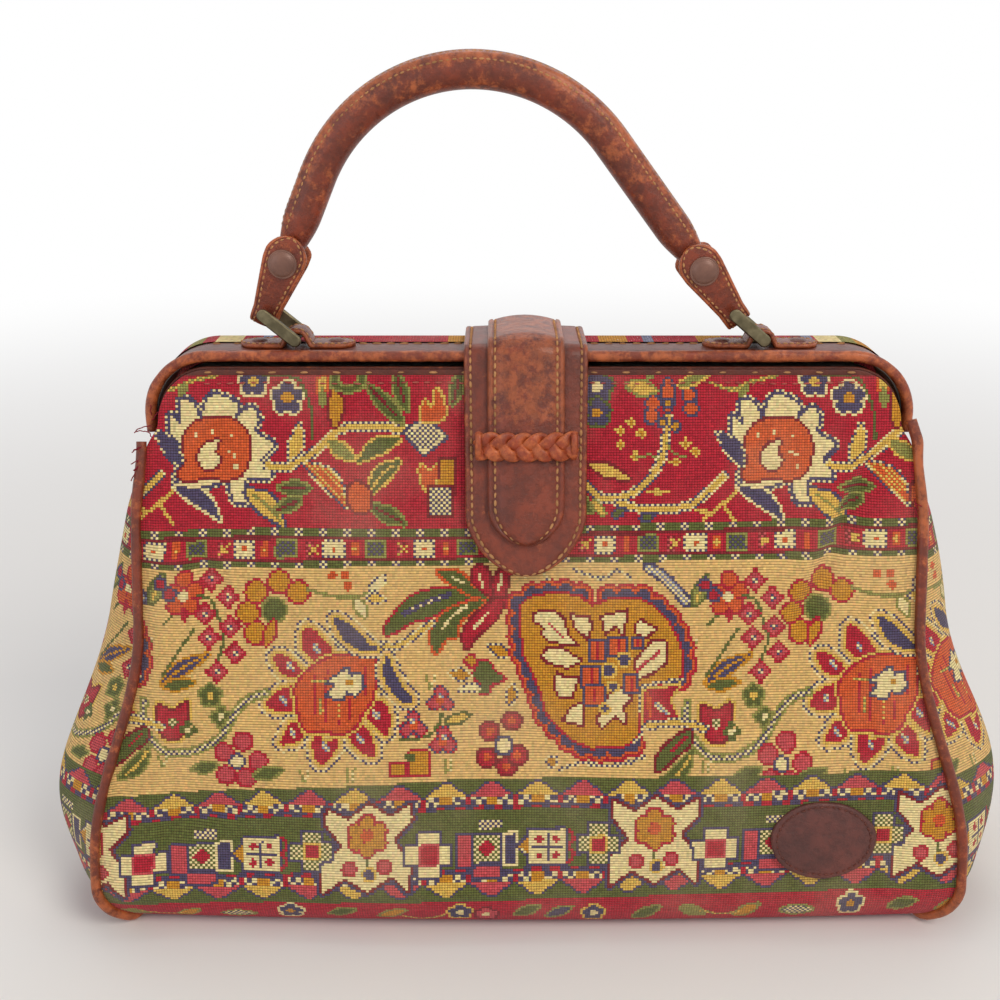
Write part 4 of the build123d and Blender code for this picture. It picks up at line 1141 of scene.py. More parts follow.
    dots("703,580 712,590", 5, "red", "navy")


def kilim_band(draft):
    """Geometric band: rows of points and checks, with stars and stepped crosses on green."""
    shape, stroke, dots, block, star = (draft.shape, draft.stroke, draft.dots, draft.block,
                                        draft.star)
    across, level = (draft.across, draft.down)
    draft.lay(level > 0, "green")
    fold = np.abs((across - 129 + 22.7) % 45.4 - 22.7)
    turn = np.floor((across - 129 + 22.7) / 45.4).astype(int) % 2
    gold = np.abs((across - 151.7 + 22.7) % 45.4 - 22.7)
    for far, check_far, step in ((779.0, 793.0, 1.0), (891.0, 877.0, -1.0)):
        high = (level - far) * step
        point = (high >= 0) & (high < 14) & (fold < 2 + high * 1.35)
        rim = (high >= -1) & (high < 14) & (fold < 5.5 + high * 1.35)
        draft.lay(rim, "navy")
        draft.lay(point & (turn == 0), "pink")
        draft.lay(point & (turn == 1), "yellow")
        row = (level - check_far) * step
        check = (row >= 0) & (row < 8)
        cells = (np.floor(across / 5.3) + np.floor(row / 4)) % 2 == 0
        draft.lay(check & cells, "navy")
        draft.lay(check & ~cells, "cream")
        draft.lay(check & (fold < 6), "gold")
        line = (row >= 8) & (row < 13)
        draft.lay(line, "navy")
        draft.lay(line & (np.floor(across / 9.5).astype(int) % 2 == 0) & (row > 9.5), "red")
        draft.lay(check & (gold < 2.6), "red")
    draft.period = 284.5
    rosette = places("329,799 350,810 371,795 391,809 411,798 413,812 394,833 411,855 410,883 "
                     "394,867 369,883 347,869 325,884 324,857 345,837 329,816")
    shape(rosette, "cream", "maroon", "navy", curved=False)
    stroke("369,842 369,858 372,872", 3, "green")
    dots("369,814 380,822 380,834 369,840 358,834 358,822", 7, "gold", "red")
    dots("369,827", 6, "orange")
    dots("351,860 386,858", 5.5, "pink", "red")
    dots("371,866", 5, "navy", "yellow")
    shape("123,840 135,840 135,828 155,828 155,840 167,840 167,858 155,858 155,870 135,870 135,858 "
          "123,858", "cream", "navy", curved=False)
    block((145, 849), 16, 16, "red", "pink")
    block((180, 847), 14, 30, "pink", "navy")
    block((203, 845), 25, 26, "green/cream", "navy")
    star((203, 845), 9, "red", points=4, inner=0.7)
    block((206, 821), 24, 9, "navy/cream")
    block((226, 845), 12, 28, "navy", "cream")
    block((203, 868), 28, 10, "pink", "navy")
    shape("234,843 245,833 245,827 281,827 281,861 245,861 245,853", "cream", "navy", curved=False)
    shape("234,843 245,834 245,852", "gold", curved=False)
    block((263, 844), 30, 2.6, "navy")
    block((263, 844), 2.6, 28, "navy")
    for u, v in places("255,836 271,836 255,853 271,853"):
        star((u, v), 5, "red", points=4, inner=0.6)
    stroke("284,828 289,836 284,844 289,852 284,860", 3.5, "red")
    shape("293,834 304,834 304,822 322,822 322,834 333,834 333,850 322,850 322,861 304,861 304,850 "
          "293,850", "green/cream", "navy", curved=False)
    block((313, 842), 13, 13, "red", "yellow")


def hem_band(draft):
    """Red hem with small leaves."""
    stroke, leaf, blossom = draft.stroke, draft.leaf, draft.blossom
    draft.period = 561.0
    leaves = (((176, 924), (198, 910), "gold"), ((222, 918), (254, 918), "navy/cream"),
              ((380, 922), (406, 908), "gold"), ((516, 918), (540, 906), "green"),
              ((548, 922), (572, 908), "navy"), ((634, 926), (660, 910), "green"),
              ((330, 916), (356, 908), "green"), ((682, 912), (706, 922), "olive"))
    for root, tip, thread in leaves:
        leaf(root, tip, 11, thread, "olive")
    blossom((291, 912), 12, "navy", "gold", "cream")
    blossom((461, 914), 12, "navy", "cream", "yellow")
    blossom((487, 918), 11, "pink", "cream", "maroon")
    blossom((594, 918), 11, "navy", "cream", "yellow")
    stroke("140,916 160,922 178,920", 3, "yellow/olive")
    stroke("404,922 424,928 446,918", 3, "yellow/olive")


def paint_cloth(across, down, sagging=False):
    """Threads of a whole cloth, band by band from the mouth to the base."""
    level = band_of(across, down, sagging)
    draft = Draft(across, down, "red")
    draft.field = level < 522
    red_band(draft)
    draft.field = (level >= 560) & (level < 776)
    draft.lay(draft.field, "tan")
    tan_band(draft)
    draft.down = level
    draft.field = (level >= 522) & (level < 560)
    draft.lay(draft.field, "red")
    narrow_border(draft)
    draft.field = (level >= 776) & (level < 897)
    kilim_band(draft)
    draft.field = level >= 897
    hem_band(draft)
    return draft.threads


# ---- cloth

def draft_down(z):
    marks = [1.5, 19.2, 65.1, 151.7, 169.2, 224.8, 260.0]
    return np.interp(z, marks, [938, 895, 782, 563, 518, 372, 282])


def draft_across(x, down, middle):
    return middle + x * np.interp(down, [372, 938], [2.556, 2.44])


def woven(name, grid, keep, threads, seed, replaces=()):
    """Cloth on a net of points: each kept cell is one stitch with its own dye."""
    rows, columns = keep.shape
    number = np.arange((rows + 1) * (columns + 1)).reshape(rows + 1, columns + 1)
    corners = np.stack([number[:-1, :-1], number[1:, :-1], number[1:, 1:], number[:-1, 1:]], -1)
    used, faces = np.unique(corners[keep], return_inverse=True)
    piece = make_piece(name, grid.reshape(-1, 3)[used], faces.reshape(-1, 4).tolist(),
                       finish_of("tapestry"), slot="tapestry", replaces=replaces)
    v, u = np.nonzero(keep)
    corner_uv(piece, "Weave", np.stack([np.stack([u, u, u + 1, u + 1], 1),
                                        np.stack([v, v + 1, v + 1, v], 1)], -1))
    chance = np.random.default_rng(seed)
    dyes = np.array([srgb(*DYES[dye]) for dye in DYE_NAMES])[threads[keep]]
    shades = (1 + 0.09 * chance.standard_normal((len(dyes), 1))
              + 0.03 * chance.standard_normal(dyes.shape))
    plain = np.isin(threads[keep], [DYE_NAMES.index("tan"), DYE_NAMES.index("cream")])
    colours = np.hstack([np.clip(dyes * shades, 0, 1), np.where(plain, 0.15, 1.0)[:, None]])
    layer = piece.data.color_attributes.new(name="Thread", type="FLOAT_COLOR", domain="CORNER")
    layer.data.foreach_set("color", np.repeat(colours, 4, axis=0).astype(np.float32).ravel())
    return piece


def fold_depth(x, z, start, end, depth, width):
    """Crease in the cloth from start to end, with a low ridge along one side."""
    (x0, z0), (x1, z1) = start, end
    length = math.hypot(x1 - x0, z1 - z0)
    wx, wz = (x1 - x0) / length, (z1 - z0) / length
    t = ((x - x0) * wx + (z - z0) * wz) / length
    d = (x - x0) * wz - (z - z0) * wx
    fade = np.sqrt(np.clip(np.sin(np.pi * np.clip(t, 0, 1)), 0, 1))
    ridge = 0.5 * np.exp(-((d - 1.9 * width) / (1.5 * width)) ** 2)
    return fade * depth * (ridge - np.exp(-(d / width) ** 2))


def slackness(x, z, half, seed, folds):
    """How far the cloth stands out from its tight shape: puffed seams, broad waves and folds."""
    chance = np.random.default_rng(seed)
    out = 1.3 * np.sin(np.pi * np.clip((half - np.abs(x)) / 26.0, 0, 1))
    for _ in range(7):
        angle, phase = chance.uniform(0, np.pi), chance.uniform(0, 2 * np.pi)
        long = chance.uniform(55, 150)
        way = x * math.cos(angle) + z * math.sin(angle)
        out = out + 0.42 * np.sin(2 * np.pi * way / long + phase)
    for start, end, depth, width in folds:
        out = out + fold_depth(x, z, start, end, depth, width)
    out = out - 1.0 * np.exp(-((z - 84) / 13) ** 2) * np.cos(x / 47.0)
    return out


def cloth_half(z, half, corner, top):
    """Half width of a body cloth: an arch at the mouth, the seams lower down."""
    rise = np.clip(z - (top - corner), 0, corner)
    mouth = half - corner + np.sqrt(np.clip(corner ** 2 - rise ** 2, 0, None))
    return mouth + (seam_x(z) - 0.3 - mouth) * smooth((206 - z) / 11)


FOLDS = {
    -1: [((140.7, 203), (106, 127), 3.4, 4.2), ((-146, 168), (-118, 140), 1.8, 4.0),
         ((-60, 96), (10, 82), 1.2, 5.0), ((70, 92), (128, 80), 1.5, 5.0),
         ((-150, 44), (-112, 60), 1.5, 4.5)],
    1: [((-120, 180), (-84, 118), 2.6, 5.0), ((130, 150), (100, 96), 2.4, 4.5),
        ((-70, 84), (60, 92), 1.6, 6.0)],
}


MOUTH_BLOCKS = ((454, 466, "maroon"), (444, 454, "sky"), (417, 441, "cream"), (401, 417, "olive"),
                (376, 401, "gold"), (498, 516, "olive"), (540, 566, "gold"), (612, 622, "sky"),
                (640, 668, "gold"), (742, 764, "olive"), (800, 826, "gold"), (1040, 1066, "cream"),
                (1082, 1098, "olive"), (1010, 1022, "sky"))


def body_profile(side):
    """Centre line of a body cloth as (depth, height), from the mouth to its turned-in foot."""
    if side < 0:
        top, start = [(17.3, 224.6), (18.5, 223.2), (19.7, 221.9)], 220.5
    else:
        top, start = [(3.3, 231.9), (14.6, 232.0), (16.9, 231.4), (18.2, 229.4)], 226.5
    heights = np.linspace(start, 0.3, 400)
    foot = [(half_depth(0.3) - reach, 0.3) for reach in (3, 7, 12)]
    line = np.array(top + list(zip(half_depth(heights), heights)) + foot)
    return np.hstack([np.zeros((len(line), 1)), line]), len(top), len(top) + len(heights)


def body_cloth(name, side, body, replaces):
    cloth = bpy.context.scene.bag_cloth
    pitch = cloth.pitch / MM
    line, start, foot = body_profile(side)
    run = along(line)
    rows = int(run[-1] / pitch)
    spots = np.arange(rows + 1) * pitch
    y0, z0 = np.interp(spots, run, line[:, 1]), np.interp(spots, run, line[:, 2])
    down = np.interp(spots, run[start:foot], draft_down(line[start:foot, 2]))
    down = np.where(spots > run[foot - 1], 938 + 2.5 * (spots - run[foot - 1]), down)
    down = np.where(spots < run[start], draft_down(line[start, 2]) - 2.5 * (run[start] - spots),
                    down)
    columns = int(2 * WIDEST_HALF / pitch / 2) * 2
    x = (np.arange(columns + 1) - columns / 2) * pitch * (-side)
    x, z, y = np.broadcast_arrays(x[None, :], z0[:, None], y0[:, None])
    limit = (cloth_half(z, FRONT_BAR_HALF, FRONT_CORNER, FRONT_BAR_TOP_Z) if side < 0
             else cloth_half(z, 149.3, 23.0, 400.0))
    drop = 0.0
    if side > 0:
        past = np.clip(np.abs(x) - 127.0, 0, 23.9)
        drop = (24 - np.sqrt(24 ** 2 - past ** 2)) * np.clip((z - 199) / 33, 0, 1)
    xc = (x[:-1, :-1] + x[1:, 1:]) / 2
    inside = np.abs(x) < limit - 0.02
    keep = inside[:-1, :-1] | inside[1:, :-1] | inside[:-1, 1:] | inside[1:, 1:]
    x = np.clip(x, -limit, limit)
    bow = panel_bow(z) * (np.abs(x) / limit) ** 2
    still = smooth((limit - np.abs(x)) / 7 + 0.05) * smooth((220 - z) / 22) * smooth((z - 4) / 20)
    loose = cloth.slack * slackness(x, z, limit, cloth.seed + 1 + side, FOLDS[side]) * still
    grid = np.stack([x, side * (y - bow * smooth((226 - z) / 10) + loose), z - drop], -1)
    vc = np.broadcast_to(((down[:-1] + down[1:]) / 2)[:, None], xc.shape)
    uc = draft_across(xc, vc, 529.0) if side < 0 else draft_across(-xc, vc, 742.0)
    threads = paint_cloth(uc, vc.copy(), side < 0)
    if side > 0:
        for first, last, dye in MOUTH_BLOCKS:
            threads[(vc < 374) & (uc > first) & (uc < last)] = DYE_NAMES.index(dye)
    piece = woven(name, grid, keep, threads, cloth.seed + 50 + 10 * side, replaces)
    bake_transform(piece, "bag", body, Vector((0, 0, 0.180)), Vector((0, 0, 0.212)))
    return grid, x, z


def facing(name, side, body):
    """Plain cloth behind the upper part of a body cloth."""
    heights = np.linspace(223.5, 138, 34)
    across = np.linspace(-1, 1, 61) * side
    limit = cloth_half(heights, 143.0, FRONT_CORNER, FRONT_BAR_TOP_Z) - 1.5
    x = across[None, :] * limit[:, None]
    z = np.broadcast_to(heights[:, None], x.shape)
    bow = panel_bow(z) * across[None, :] ** 2
    tuck = 1.0 * smooth((z - 214) / 8)
    y = side * (half_depth(z) - bow - 1.7 - tuck - 5.5 * smooth((208 - z) / 20))
    points = np.stack([x, y, z], -1)
    rows, columns = x.shape
    faces = []
    for r in range(rows - 1):
        for c in range(columns - 1):
            a = r * columns + c
            faces.append((a, a + columns, a + columns + 1, a + 1))
    piece = make_piece(name, points.reshape(-1, 3), faces, finish_of("lining"), slot="lining_cloth")
    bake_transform(piece, "bag", body, Vector((0, 0, 0.180)), Vector((0, 0, 0.212)))


def side_plan(z, t, inset=0.0):
    """Half plan of a gusset: t is 0 at its middle crease and 1 at the piped seam."""
    end_x, lobe, crease = seam_x(z) - inset, lobe_x(z) - inset, crease_x(z) - inset
    near = np.clip(t / 0.52, 0, 1)
    far = np.clip((t - 0.52) / 0.48, 0, 1)
    inner = crease + (lobe - crease) * np.sin(np.pi / 2 * near) ** 0.75
    outer = end_x + (lobe - end_x) * np.cos(np.pi / 2 * far) ** 0.85
    return np.where(t < 0.52, inner, outer), t * (seam_y(z) - inset)


def side_cloth(name, side):
    """Gusset: two soft lobes with a deep crease, drawn in under the frame at the top."""
    cloth = bpy.context.scene.bag_cloth
    pitch = cloth.pitch / MM
    heights = np.linspace(204.0, 0.3, 420)
    outline = np.stack([lobe_x(heights), 0 * heights, heights], 1)
    run = along(outline)
    spots = np.arange(int(run[-1] / pitch) + 1) * pitch
    z_rows = np.interp(spots, run, heights)
    half_columns = int(96 / pitch)
    steps = np.arange(-half_columns, half_columns + 1) * pitch
    t = np.linspace(0, 1, 160)
    grid = np.zeros((len(z_rows), len(steps), 3))
    reach = np.zeros(len(z_rows))
    chance = np.random.default_rng(cloth.seed + 90 + 30 * side)
    phases = chance.uniform(0, 6.28, 6)
    for row, z in enumerate(z_rows):
        plan_x, plan_y = side_plan(z, t)
        tuck = float(smooth((z - 186) / 13))
        plan_x = plan_x * (1 - tuck) + 141.5 * tuck
        plan_y = plan_y * (1 - 0.1 * tuck)
        length = np.concatenate([[0], np.cumsum(np.hypot(np.diff(plan_x), np.diff(plan_y)))])
        reach[row] = length[-1]
        s = np.abs(steps)
        x = np.interp(s, length, plan_x)
        y = np.interp(s, length, plan_y) * np.sign(steps)
        soft = np.sin(np.pi * np.clip(s / length[-1], 0, 1))
        soft = soft * smooth((200 - z) / 30) * smooth(z / 20)
        wave = sum(0.45 * np.sin(steps / (9 + 4 * k) + z / (14 + 5 * k) + phases[k])
                   for k in range(4))
        grid[row] = np.stack([side * (x + cloth.slack * soft * wave), y, np.full_like(x, z)], -1)
    if side < 0:
        grid = grid[:, ::-1]
    s_mid = (steps[:-1] + steps[1:]) / 2
    if side < 0:
        s_mid = s_mid[::-1]
    v = draft_down((z_rows[:-1] + z_rows[1:]) / 2)
    keep = np.abs(s_mid)[None, :] <= (reach[:-1, None] + reach[1:, None]) / 2
    arm = np.clip(np.abs(grid[:-1, :-1, 1]) - 4, 0, 12)
    keep &= grid[:-1, :-1, 2] <= 195 + 0.9 * arm
    down = np.broadcast_to(v[:, None], keep.shape).copy()
    across = np.broadcast_to((985.0 if side > 0 else 75.0) + 2.5 * s_mid[None, :] * side,
                             keep.shape)
    threads = paint_cloth(across.copy(), down)
    piece = woven(name, grid, keep, threads, cloth.seed + 70 + 20 * side,
                  (f"gusset_{hand(side)}",))
    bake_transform(piece, "bag", "front_half", Vector((0, -0.006, 0.192)), Vector((0, -0.012, 0.207)))


def base_cloth():
    cloth = bpy.context.scene.bag_cloth
    pitch = 2 * cloth.pitch / MM
    half_x, half_y = seam_x(0.0) - 1.5, half_depth(0.0) - 9
    columns, rows = int(2 * half_x / pitch), int(2 * half_y / pitch)
    x = np.linspace(-half_x, half_x, columns + 1)[None, :]
    y = np.linspace(-half_y, half_y, rows + 1)[:, None]
    x, y = np.broadcast_arrays(x, y)
    z = 0.9 + 0.25 * np.sin(x / 23) * np.sin(y / 17)
    keep = np.ones((rows, columns), bool)
    draft = Draft(x[:-1, :-1] * 2.5, y[:-1, :-1] * 2.5, "red")
    draft.period = 120.0
    for middle in (-90, 0, 90):
        draft.star((30, middle), 16, "olive", "maroon", points=4, inner=0.5)
    piece = woven("base_cloth", np.stack([x, y, z], -1), keep, draft.threads, cloth.seed,
                  ("base_panel",))
    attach(piece, "bag")


def lining_tub():
    """Cotton lining inside the body, as one double wall with a floor."""
    t = np.linspace(-1, 1, 25)

    def plan(z, inset):
        end_x = float(seam_x(z)) - inset
        x = np.linspace(-end_x, end_x, 33)[:-1]
        bow = float(panel_bow(z))
        front_y = -(float(half_depth(z)) - inset - bow * (x / end_x) ** 2)
        gx, gy = side_plan(z, np.abs(t), inset)
        gy = gy * np.sign(t)
        right = np.stack([gx, gy], 1)[:-1]
        front = np.stack([x, front_y], 1)
        ring = np.vstack([front, right, -front, -right])
        return np.hstack([ring, np.full((len(ring), 1), z)])

    up = np.concatenate([[5.6, 7, 10, 15, 22], np.linspace(32, 166, 20)])
    down = np.concatenate([np.linspace(166, 32, 20), [22, 15, 10, 7.6, 6.6]])
    rings = [plan(z, 3.5) for z in up] + [plan(z, 4.4) for z in down]
    make_piece("lining_tub", np.vstack(rings), ring_faces(len(rings), len(rings[0])),
               finish_of("lining"), "bag", "lining_cloth", ("lining",))


def side_piping(name, side):
    """Leather piping down the front seam, under the base and up the back seam."""
    top = 207 if side > 0 else 199
    heights = np.concatenate([np.linspace(top, 24, 70), np.linspace(22, 2.6, 14)])
    run = np.stack([side * (seam_x(heights) + PIPING_OUT - 0.35 * np.clip(heights - 199, 0, 9)),
                    -(seam_y(heights) + PIPING_OUT), heights], 1)
    under = seam_x(0.0) - 1.6 + PIPING_RADIUS + 0.3
    foot = [(side * under, -(seam_y(0.0) - 7), 2.3),
            (side * under, -(seam_y(0.0) - PIPING_BEND), 2.3)]
    half = np.vstack([run, foot])
    back = (half * [1, -1, 1])[::-1]
    line = curve_through(resample(np.vstack([half, back]), 220), closed=False, steps=2)
    chance = np.random.default_rng(5 + side)
    lumps = np.interp(np.arange(len(line)), np.arange(0, len(line) + 9, 7),
                      1 + 0.05 * chance.standard_normal(len(np.arange(0, len(line) + 9, 7))))
    piece = rope(name, line, PIPING_RADIUS * lumps, (side, 0, 0.01), finish_of("piping"), sides=12,
                 slot="piping_leather",
                 replaces=(f"piping_{hand(side)}",))
    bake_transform(piece, "bag", "front_half", Vector((0, -0.006, 0.192)), Vector((0, -0.012, 0.207)))
    z = np.repeat(line[:, 2], 12)
    worn = 0.25 + 0.75 * np.exp(-(z / 26) ** 2)
    if side > 0:
        worn += 0.7 * np.exp(-((z - 182) / 22) ** 2)
    wear_values(piece, worn)


# ---- frame

def arch_line(half, top, corner, foot, y, step=1.5):
    points = [(-half, y, foot), (-half, y, top), (half, y, top), (half, y, foot)]
    return bent_line(points, [corner, corner], step)


def frame_leather():
    line = arch_line(150.0, 230.0, FRAME_CORNER, 197.0, -5.05)
    low = smooth((line[:, 2] - 196) / 9)
    strap("frame_leather", line, (0, -1, 0), 2.5 + 5.55 * low, 1.6, finish_of("dark"), crown=0.15,
          groove=0.15, groove_in=2.0, wear=0.3, body="rear_half",
          replaces=("rear_top_leather",))
    line = arch_line(ROLL_HALF, ROLL_Z, FRAME_CORNER, 200.0, ROLL_Y)
    chance = np.random.default_rng(12)
    knots = np.arange(0, len(line) + 4, 3)
    lumps = np.interp(np.arange(len(line)), knots, 1 + 0.045 * chance.standard_normal(len(knots)))
    piece = rope("rolled_edge", line, ROLL_RADIUS * lumps, (0, -1, 0), finish_of("rolled"),
                 sides=18,
                 body="rear_half", slot="brown_leather", replaces=("rolled_edge",))
    wear_values(piece, np.full(18 * len(line), 0.55))
    line = arch_line(144.5, 224.5, 18.6, 204.0, -16.4)
    middle = np.array([0.0, 0.0, 130.0])
    way = tangents(line)
    inward = np.cross(way, (0.0, 1.0, 0.0))
    inward = unit(inward * np.sign(np.sum(inward * (middle - line), 1))[:, None])
    strap("front_edging", line, inward, 2.2, 1.9, finish_of("dark"), crown=0.1, groove=0.1,
          groove_in=1.2, wear=0.35, body="front_half",
          replaces=("front_edging",))


# ---- closing tab

def tab_line(lift, tip_z, step=1.2):
    """Inner face of a layer of the tab, closely divided at its tip."""
    pivot_y = half_depth(LEATHER_TOP_Z) + 0.6
    snap_y = -half_depth(SNAP_Z) - TAB_STANDOFF
    edge_y = ROLL_Y - ROLL_RADIUS - 0.3
    fall = (edge_y - snap_y) / (ROLL_Z - SNAP_Z)
    tilt = math.hypot(1, fall)
    corner = (TAB_X, edge_y - lift * (tilt - fall) + fall * (TAB_TOP_Z - ROLL_Z), TAB_TOP_Z + lift)
    tip = (TAB_X, edge_y - lift * tilt - fall * (ROLL_Z - tip_z), tip_z)
    course = [(TAB_X, pivot_y, TAB_TOP_Z + lift), corner, tip]
    total = along(bent_line(course, [2.4 + lift], step))[-1]
    spots = np.concatenate([np.arange(0, total - 9, step),
                            total - np.array([8, 7, 6, 5, 4, 3, 2.2, 1.5, 0.9, 0.45, 0.15, 0.0])])
    fine = bent_line(course, [2.4 + lift], 0.25)
    fine_run = along(fine) * total / along(fine)[-1]
    return np.stack([np.interp(spots, fine_run, fine[:, k]) for k in range(3)], 1), total - spots


def pointed(left, half, point):
    """Half width of a strap with a rounded point, from the length left to its tip."""
    share = np.clip(left / point, 0, 1)
    return half * np.sqrt(1 - (1 - share) ** 2) ** 1.1 + 0.02


def rows_on(line, across, half, thick, inset):
    """Sewing line inside the edge of a strap: up one side, round the tip and down the other."""
    way = tangents(line)
    across = unit(np.broadcast_to(np.asarray(across, float), line.shape))
    out = unit(np.cross(across, way))
    inner = np.asarray(half) - inset
    keep = inner > 0.3
    face = line[keep] + out[keep] * (thick - 0.05)
    right = face + across[keep] * inner[keep, None]
    left = face - across[keep] * inner[keep, None]
    return right, left


STITCH_LINES = {}


def tab_leather():
    line, left = tab_line(0.0, TAB_TIP_Z)
    wide = np.interp(line[:, 2], [180, 232], [23.6, 24.3])
    half = np.minimum(wide, pointed(left, 24.5, TAB_POINT))
    piece = strap("closing_tab", line, (-1, 0, 0), half, TAB_THICK, finish_of("leather"), crown=0.5,
                  groove=0.35, groove_in=2.6, wear=0.5, body="tab",
                  replaces=("closing_tab",))
    right, lefts = rows_on(line, (-1, 0, 0), half, TAB_THICK, 2.6)
    STITCH_LINES["tab"] = [np.vstack([right[3:], lefts[:2:-1]])]
    lift = TAB_THICK + 0.1
    line, left = tab_line(lift, STRAP_TIP_Z)
    half = np.minimum(np.interp(line[:, 2], [170, 235], [14.9, 15.2]),
                      pointed(left, 15.0, STRAP_POINT))
    piece = strap("inner_strap", line, (-1, 0, 0), half, STRAP_THICK, finish_of("strap"), crown=1.9,
                  groove=0.5, groove_in=3.0, wear=0.7, body="tab",
                  replaces=("inner_strap",))
    wear = np.empty(len(piece.data.vertices), np.float32)
    piece.data.attributes["Wear"].data.foreach_get("value", wear)
    heights = np.repeat(line[:, 2], len(wear) // len(line))
    wear_values(piece, wear * 0.6 + 0.75 * smooth((heights - 196) / 18))
    right, lefts = rows_on(line, (-1, 0, 0), half, STRAP_THICK, 3.0)
    STITCH_LINES["tab"].append(np.vstack([right[3:], lefts[:2:-1]]))
    top = TAB_TOP_Z - 1.9
    heights = np.linspace(top, top - 15, 14)
    back = np.stack([np.full(14, TAB_X), half_depth(heights) + 0.3, heights], 1)
    strap("tab_back", back, (1, 0, 0), 24.3, 2.2, finish_of("leather"), crown=0.3, groove=0.3,
          wear=0.4, body="rear_half", replaces=("tab_back",))
    right, lefts = rows_on(back, (1, 0, 0), np.full(14, 24.3), 2.2, 2.6)
    bottom = np.linspace(right[-2], lefts[-2], 20)
    STITCH_LINES["back"] = [np.vstack([right[2:-2], bottom, lefts[2:-2][::-1]])]


def plaited_keeper():
    """Plait of three flat thongs across the strap, bound at both ends."""
    lift = TAB_THICK + 0.1 + STRAP_THICK
    line, _ = tab_line(lift, STRAP_TIP_Z)
    seat = np.interp(200.0, line[::-1, 2], line[::-1, 1])
    slope = np.interp(201.0, line[::-1, 2], line[::-1, 1]) - seat
    step = np.linspace(0, 1, 90)
    points, faces = [], []
    count = 0
    for strand in range(3):
        turn = 2 * np.pi * (2 * step + strand / 3)
        x = TAB_X + 37.5 * (step - 0.5)
        rise = 3.2 * np.sin(turn)
        ease = 2.6 * np.abs(2 * step - 1) ** 3
        y = seat - 3.5 - 1.15 * np.sin(2 * turn) + ease + slope * rise
        centre = np.stack([x, y, 200 + rise], 1)
        way = tangents(centre)
        flat = unit(np.cross(way, (0.0, -1.0, 0.0)))
        out = np.cross(flat, way)
        ring = []
        for angle in np.linspace(0, 2 * np.pi, 12, endpoint=False):
            c, s = math.cos(angle), math.sin(angle)
            ring.append(centre + flat * 2.35 * np.sign(c) * abs(c) ** 0.7
                        + out * 1.15 * np.sign(s) * abs(s) ** 0.8)
        points.append(np.stack(ring, 1).reshape(-1, 3))
        faces += [tuple(i + count for i in face) for face in ring_faces(90, 12)]
        count += 90 * 12
    piece = make_piece("plaited_keeper", np.vstack(points), faces, finish_of("plait"), "tab",
                       "plaited_leather", ("braided_keeper",))
    wear_values(piece, np.tile(np.array([0.9, 0.6, 0.45, 0.4, 0.45, 0.6] * 2), 270))
    for side in (-1, 1):
        x = TAB_X + side * 18.4
        angle = np.linspace(0, 2 * np.pi, 24, endpoint=False)
        ring = np.stack([np.full(24, x), seat - 1.6 + 2.6 * np.sin(angle),
                         200 + 5.0 * np.cos(angle)], 1)
        band = ring[np.arange(25) % 24]
        tidy = rope(f"keeper_binding_{hand(side)}", band[:-1], 1.3, (1, 0, 0),
                    finish_of("plait"), sides=8, squash=0.6, body="tab", slot="plaited_leather")
        wear_values(tidy, np.full(len(tidy.data.vertices), 0.5))


# ---- handle, rings and chapes

def loop_at(side):
    lean = math.radians(RING_LEAN)
    return np.array([side * CHAPE_X - RING_LENGTH * math.sin(lean), HANDLE_Y,
                     RING_FOOT_Z + RING_LENGTH * math.cos(lean)])


def leg_way(side):
    angle = math.radians(180 - RIGHT_LEG if side > 0 else LEFT_LEG)
    return np.array([math.cos(angle), 0.0, math.sin(angle)])


def handle_line():
    left, right = loop_at(-1), loop_at(1)
    up_left, up_right = leg_way(-1), leg_way(1)
    top_left = left + up_left * (HANDLE_RISE - HANDLE_SLOPE / 2) / up_left[2]
    top_right = right + up_right * (HANDLE_RISE + HANDLE_SLOPE / 2) / up_right[2]
    start, end = left + up_left * 8, right + up_right * 8
    return bent_line([start, top_left, top_right, end], [LEFT_SHOULDER, RIGHT_SHOULDER], 1.6)


def rolled_handle():
    """Rolled handle with a sewn ridge along its front, thinner where the flaps close over it."""
    line = handle_line()
    run = along(line)
    end = np.minimum(run, run[-1] - run)
    radius = 3.4 + (HANDLE_RADIUS - 3.4) * smooth((end - 8) / 26)

    def ridge(angles):
        away = (angles - math.radians(310) + math.pi) % (2 * math.pi) - math.pi
        valley = 0.03 * np.exp(-((np.abs(away) - 0.5) / 0.16) ** 2)
        return 1 + 0.10 * np.exp(-(away / 0.2) ** 2) - valley

    piece = rope("rolled_handle", line, radius, (0, -1, 0), finish_of("handle"), sides=36,
                 shape=ridge,
                 body="carry_handle", slot="brown_leather", replaces=("handle",))
    angles = np.linspace(0, 2 * np.pi, 36, endpoint=False)
    worn = 0.3 + 0.5 * np.exp(-((np.abs(angles - math.radians(310))) / 0.35) ** 2)
    middle = smooth((end - 30) / 60)
    wear_values(piece, (worn[None, :] * (0.6 + 0.5 * middle[:, None])))
    way = tangents(line)
    front = unit(np.array([0, -1.0, 0]) - way * (way @ np.array([0, -1.0, 0]))[:, None])
    out = np.cross(way, front)
    rows = []
    for angle in (293, 327):
        a = math.radians(angle)
        row = line + (radius * 0.985)[:, None] * (math.cos(a) * front + math.sin(a) * out)
        rows.append(row[(end > 26)])
    STITCH_LINES["handle"] = rows


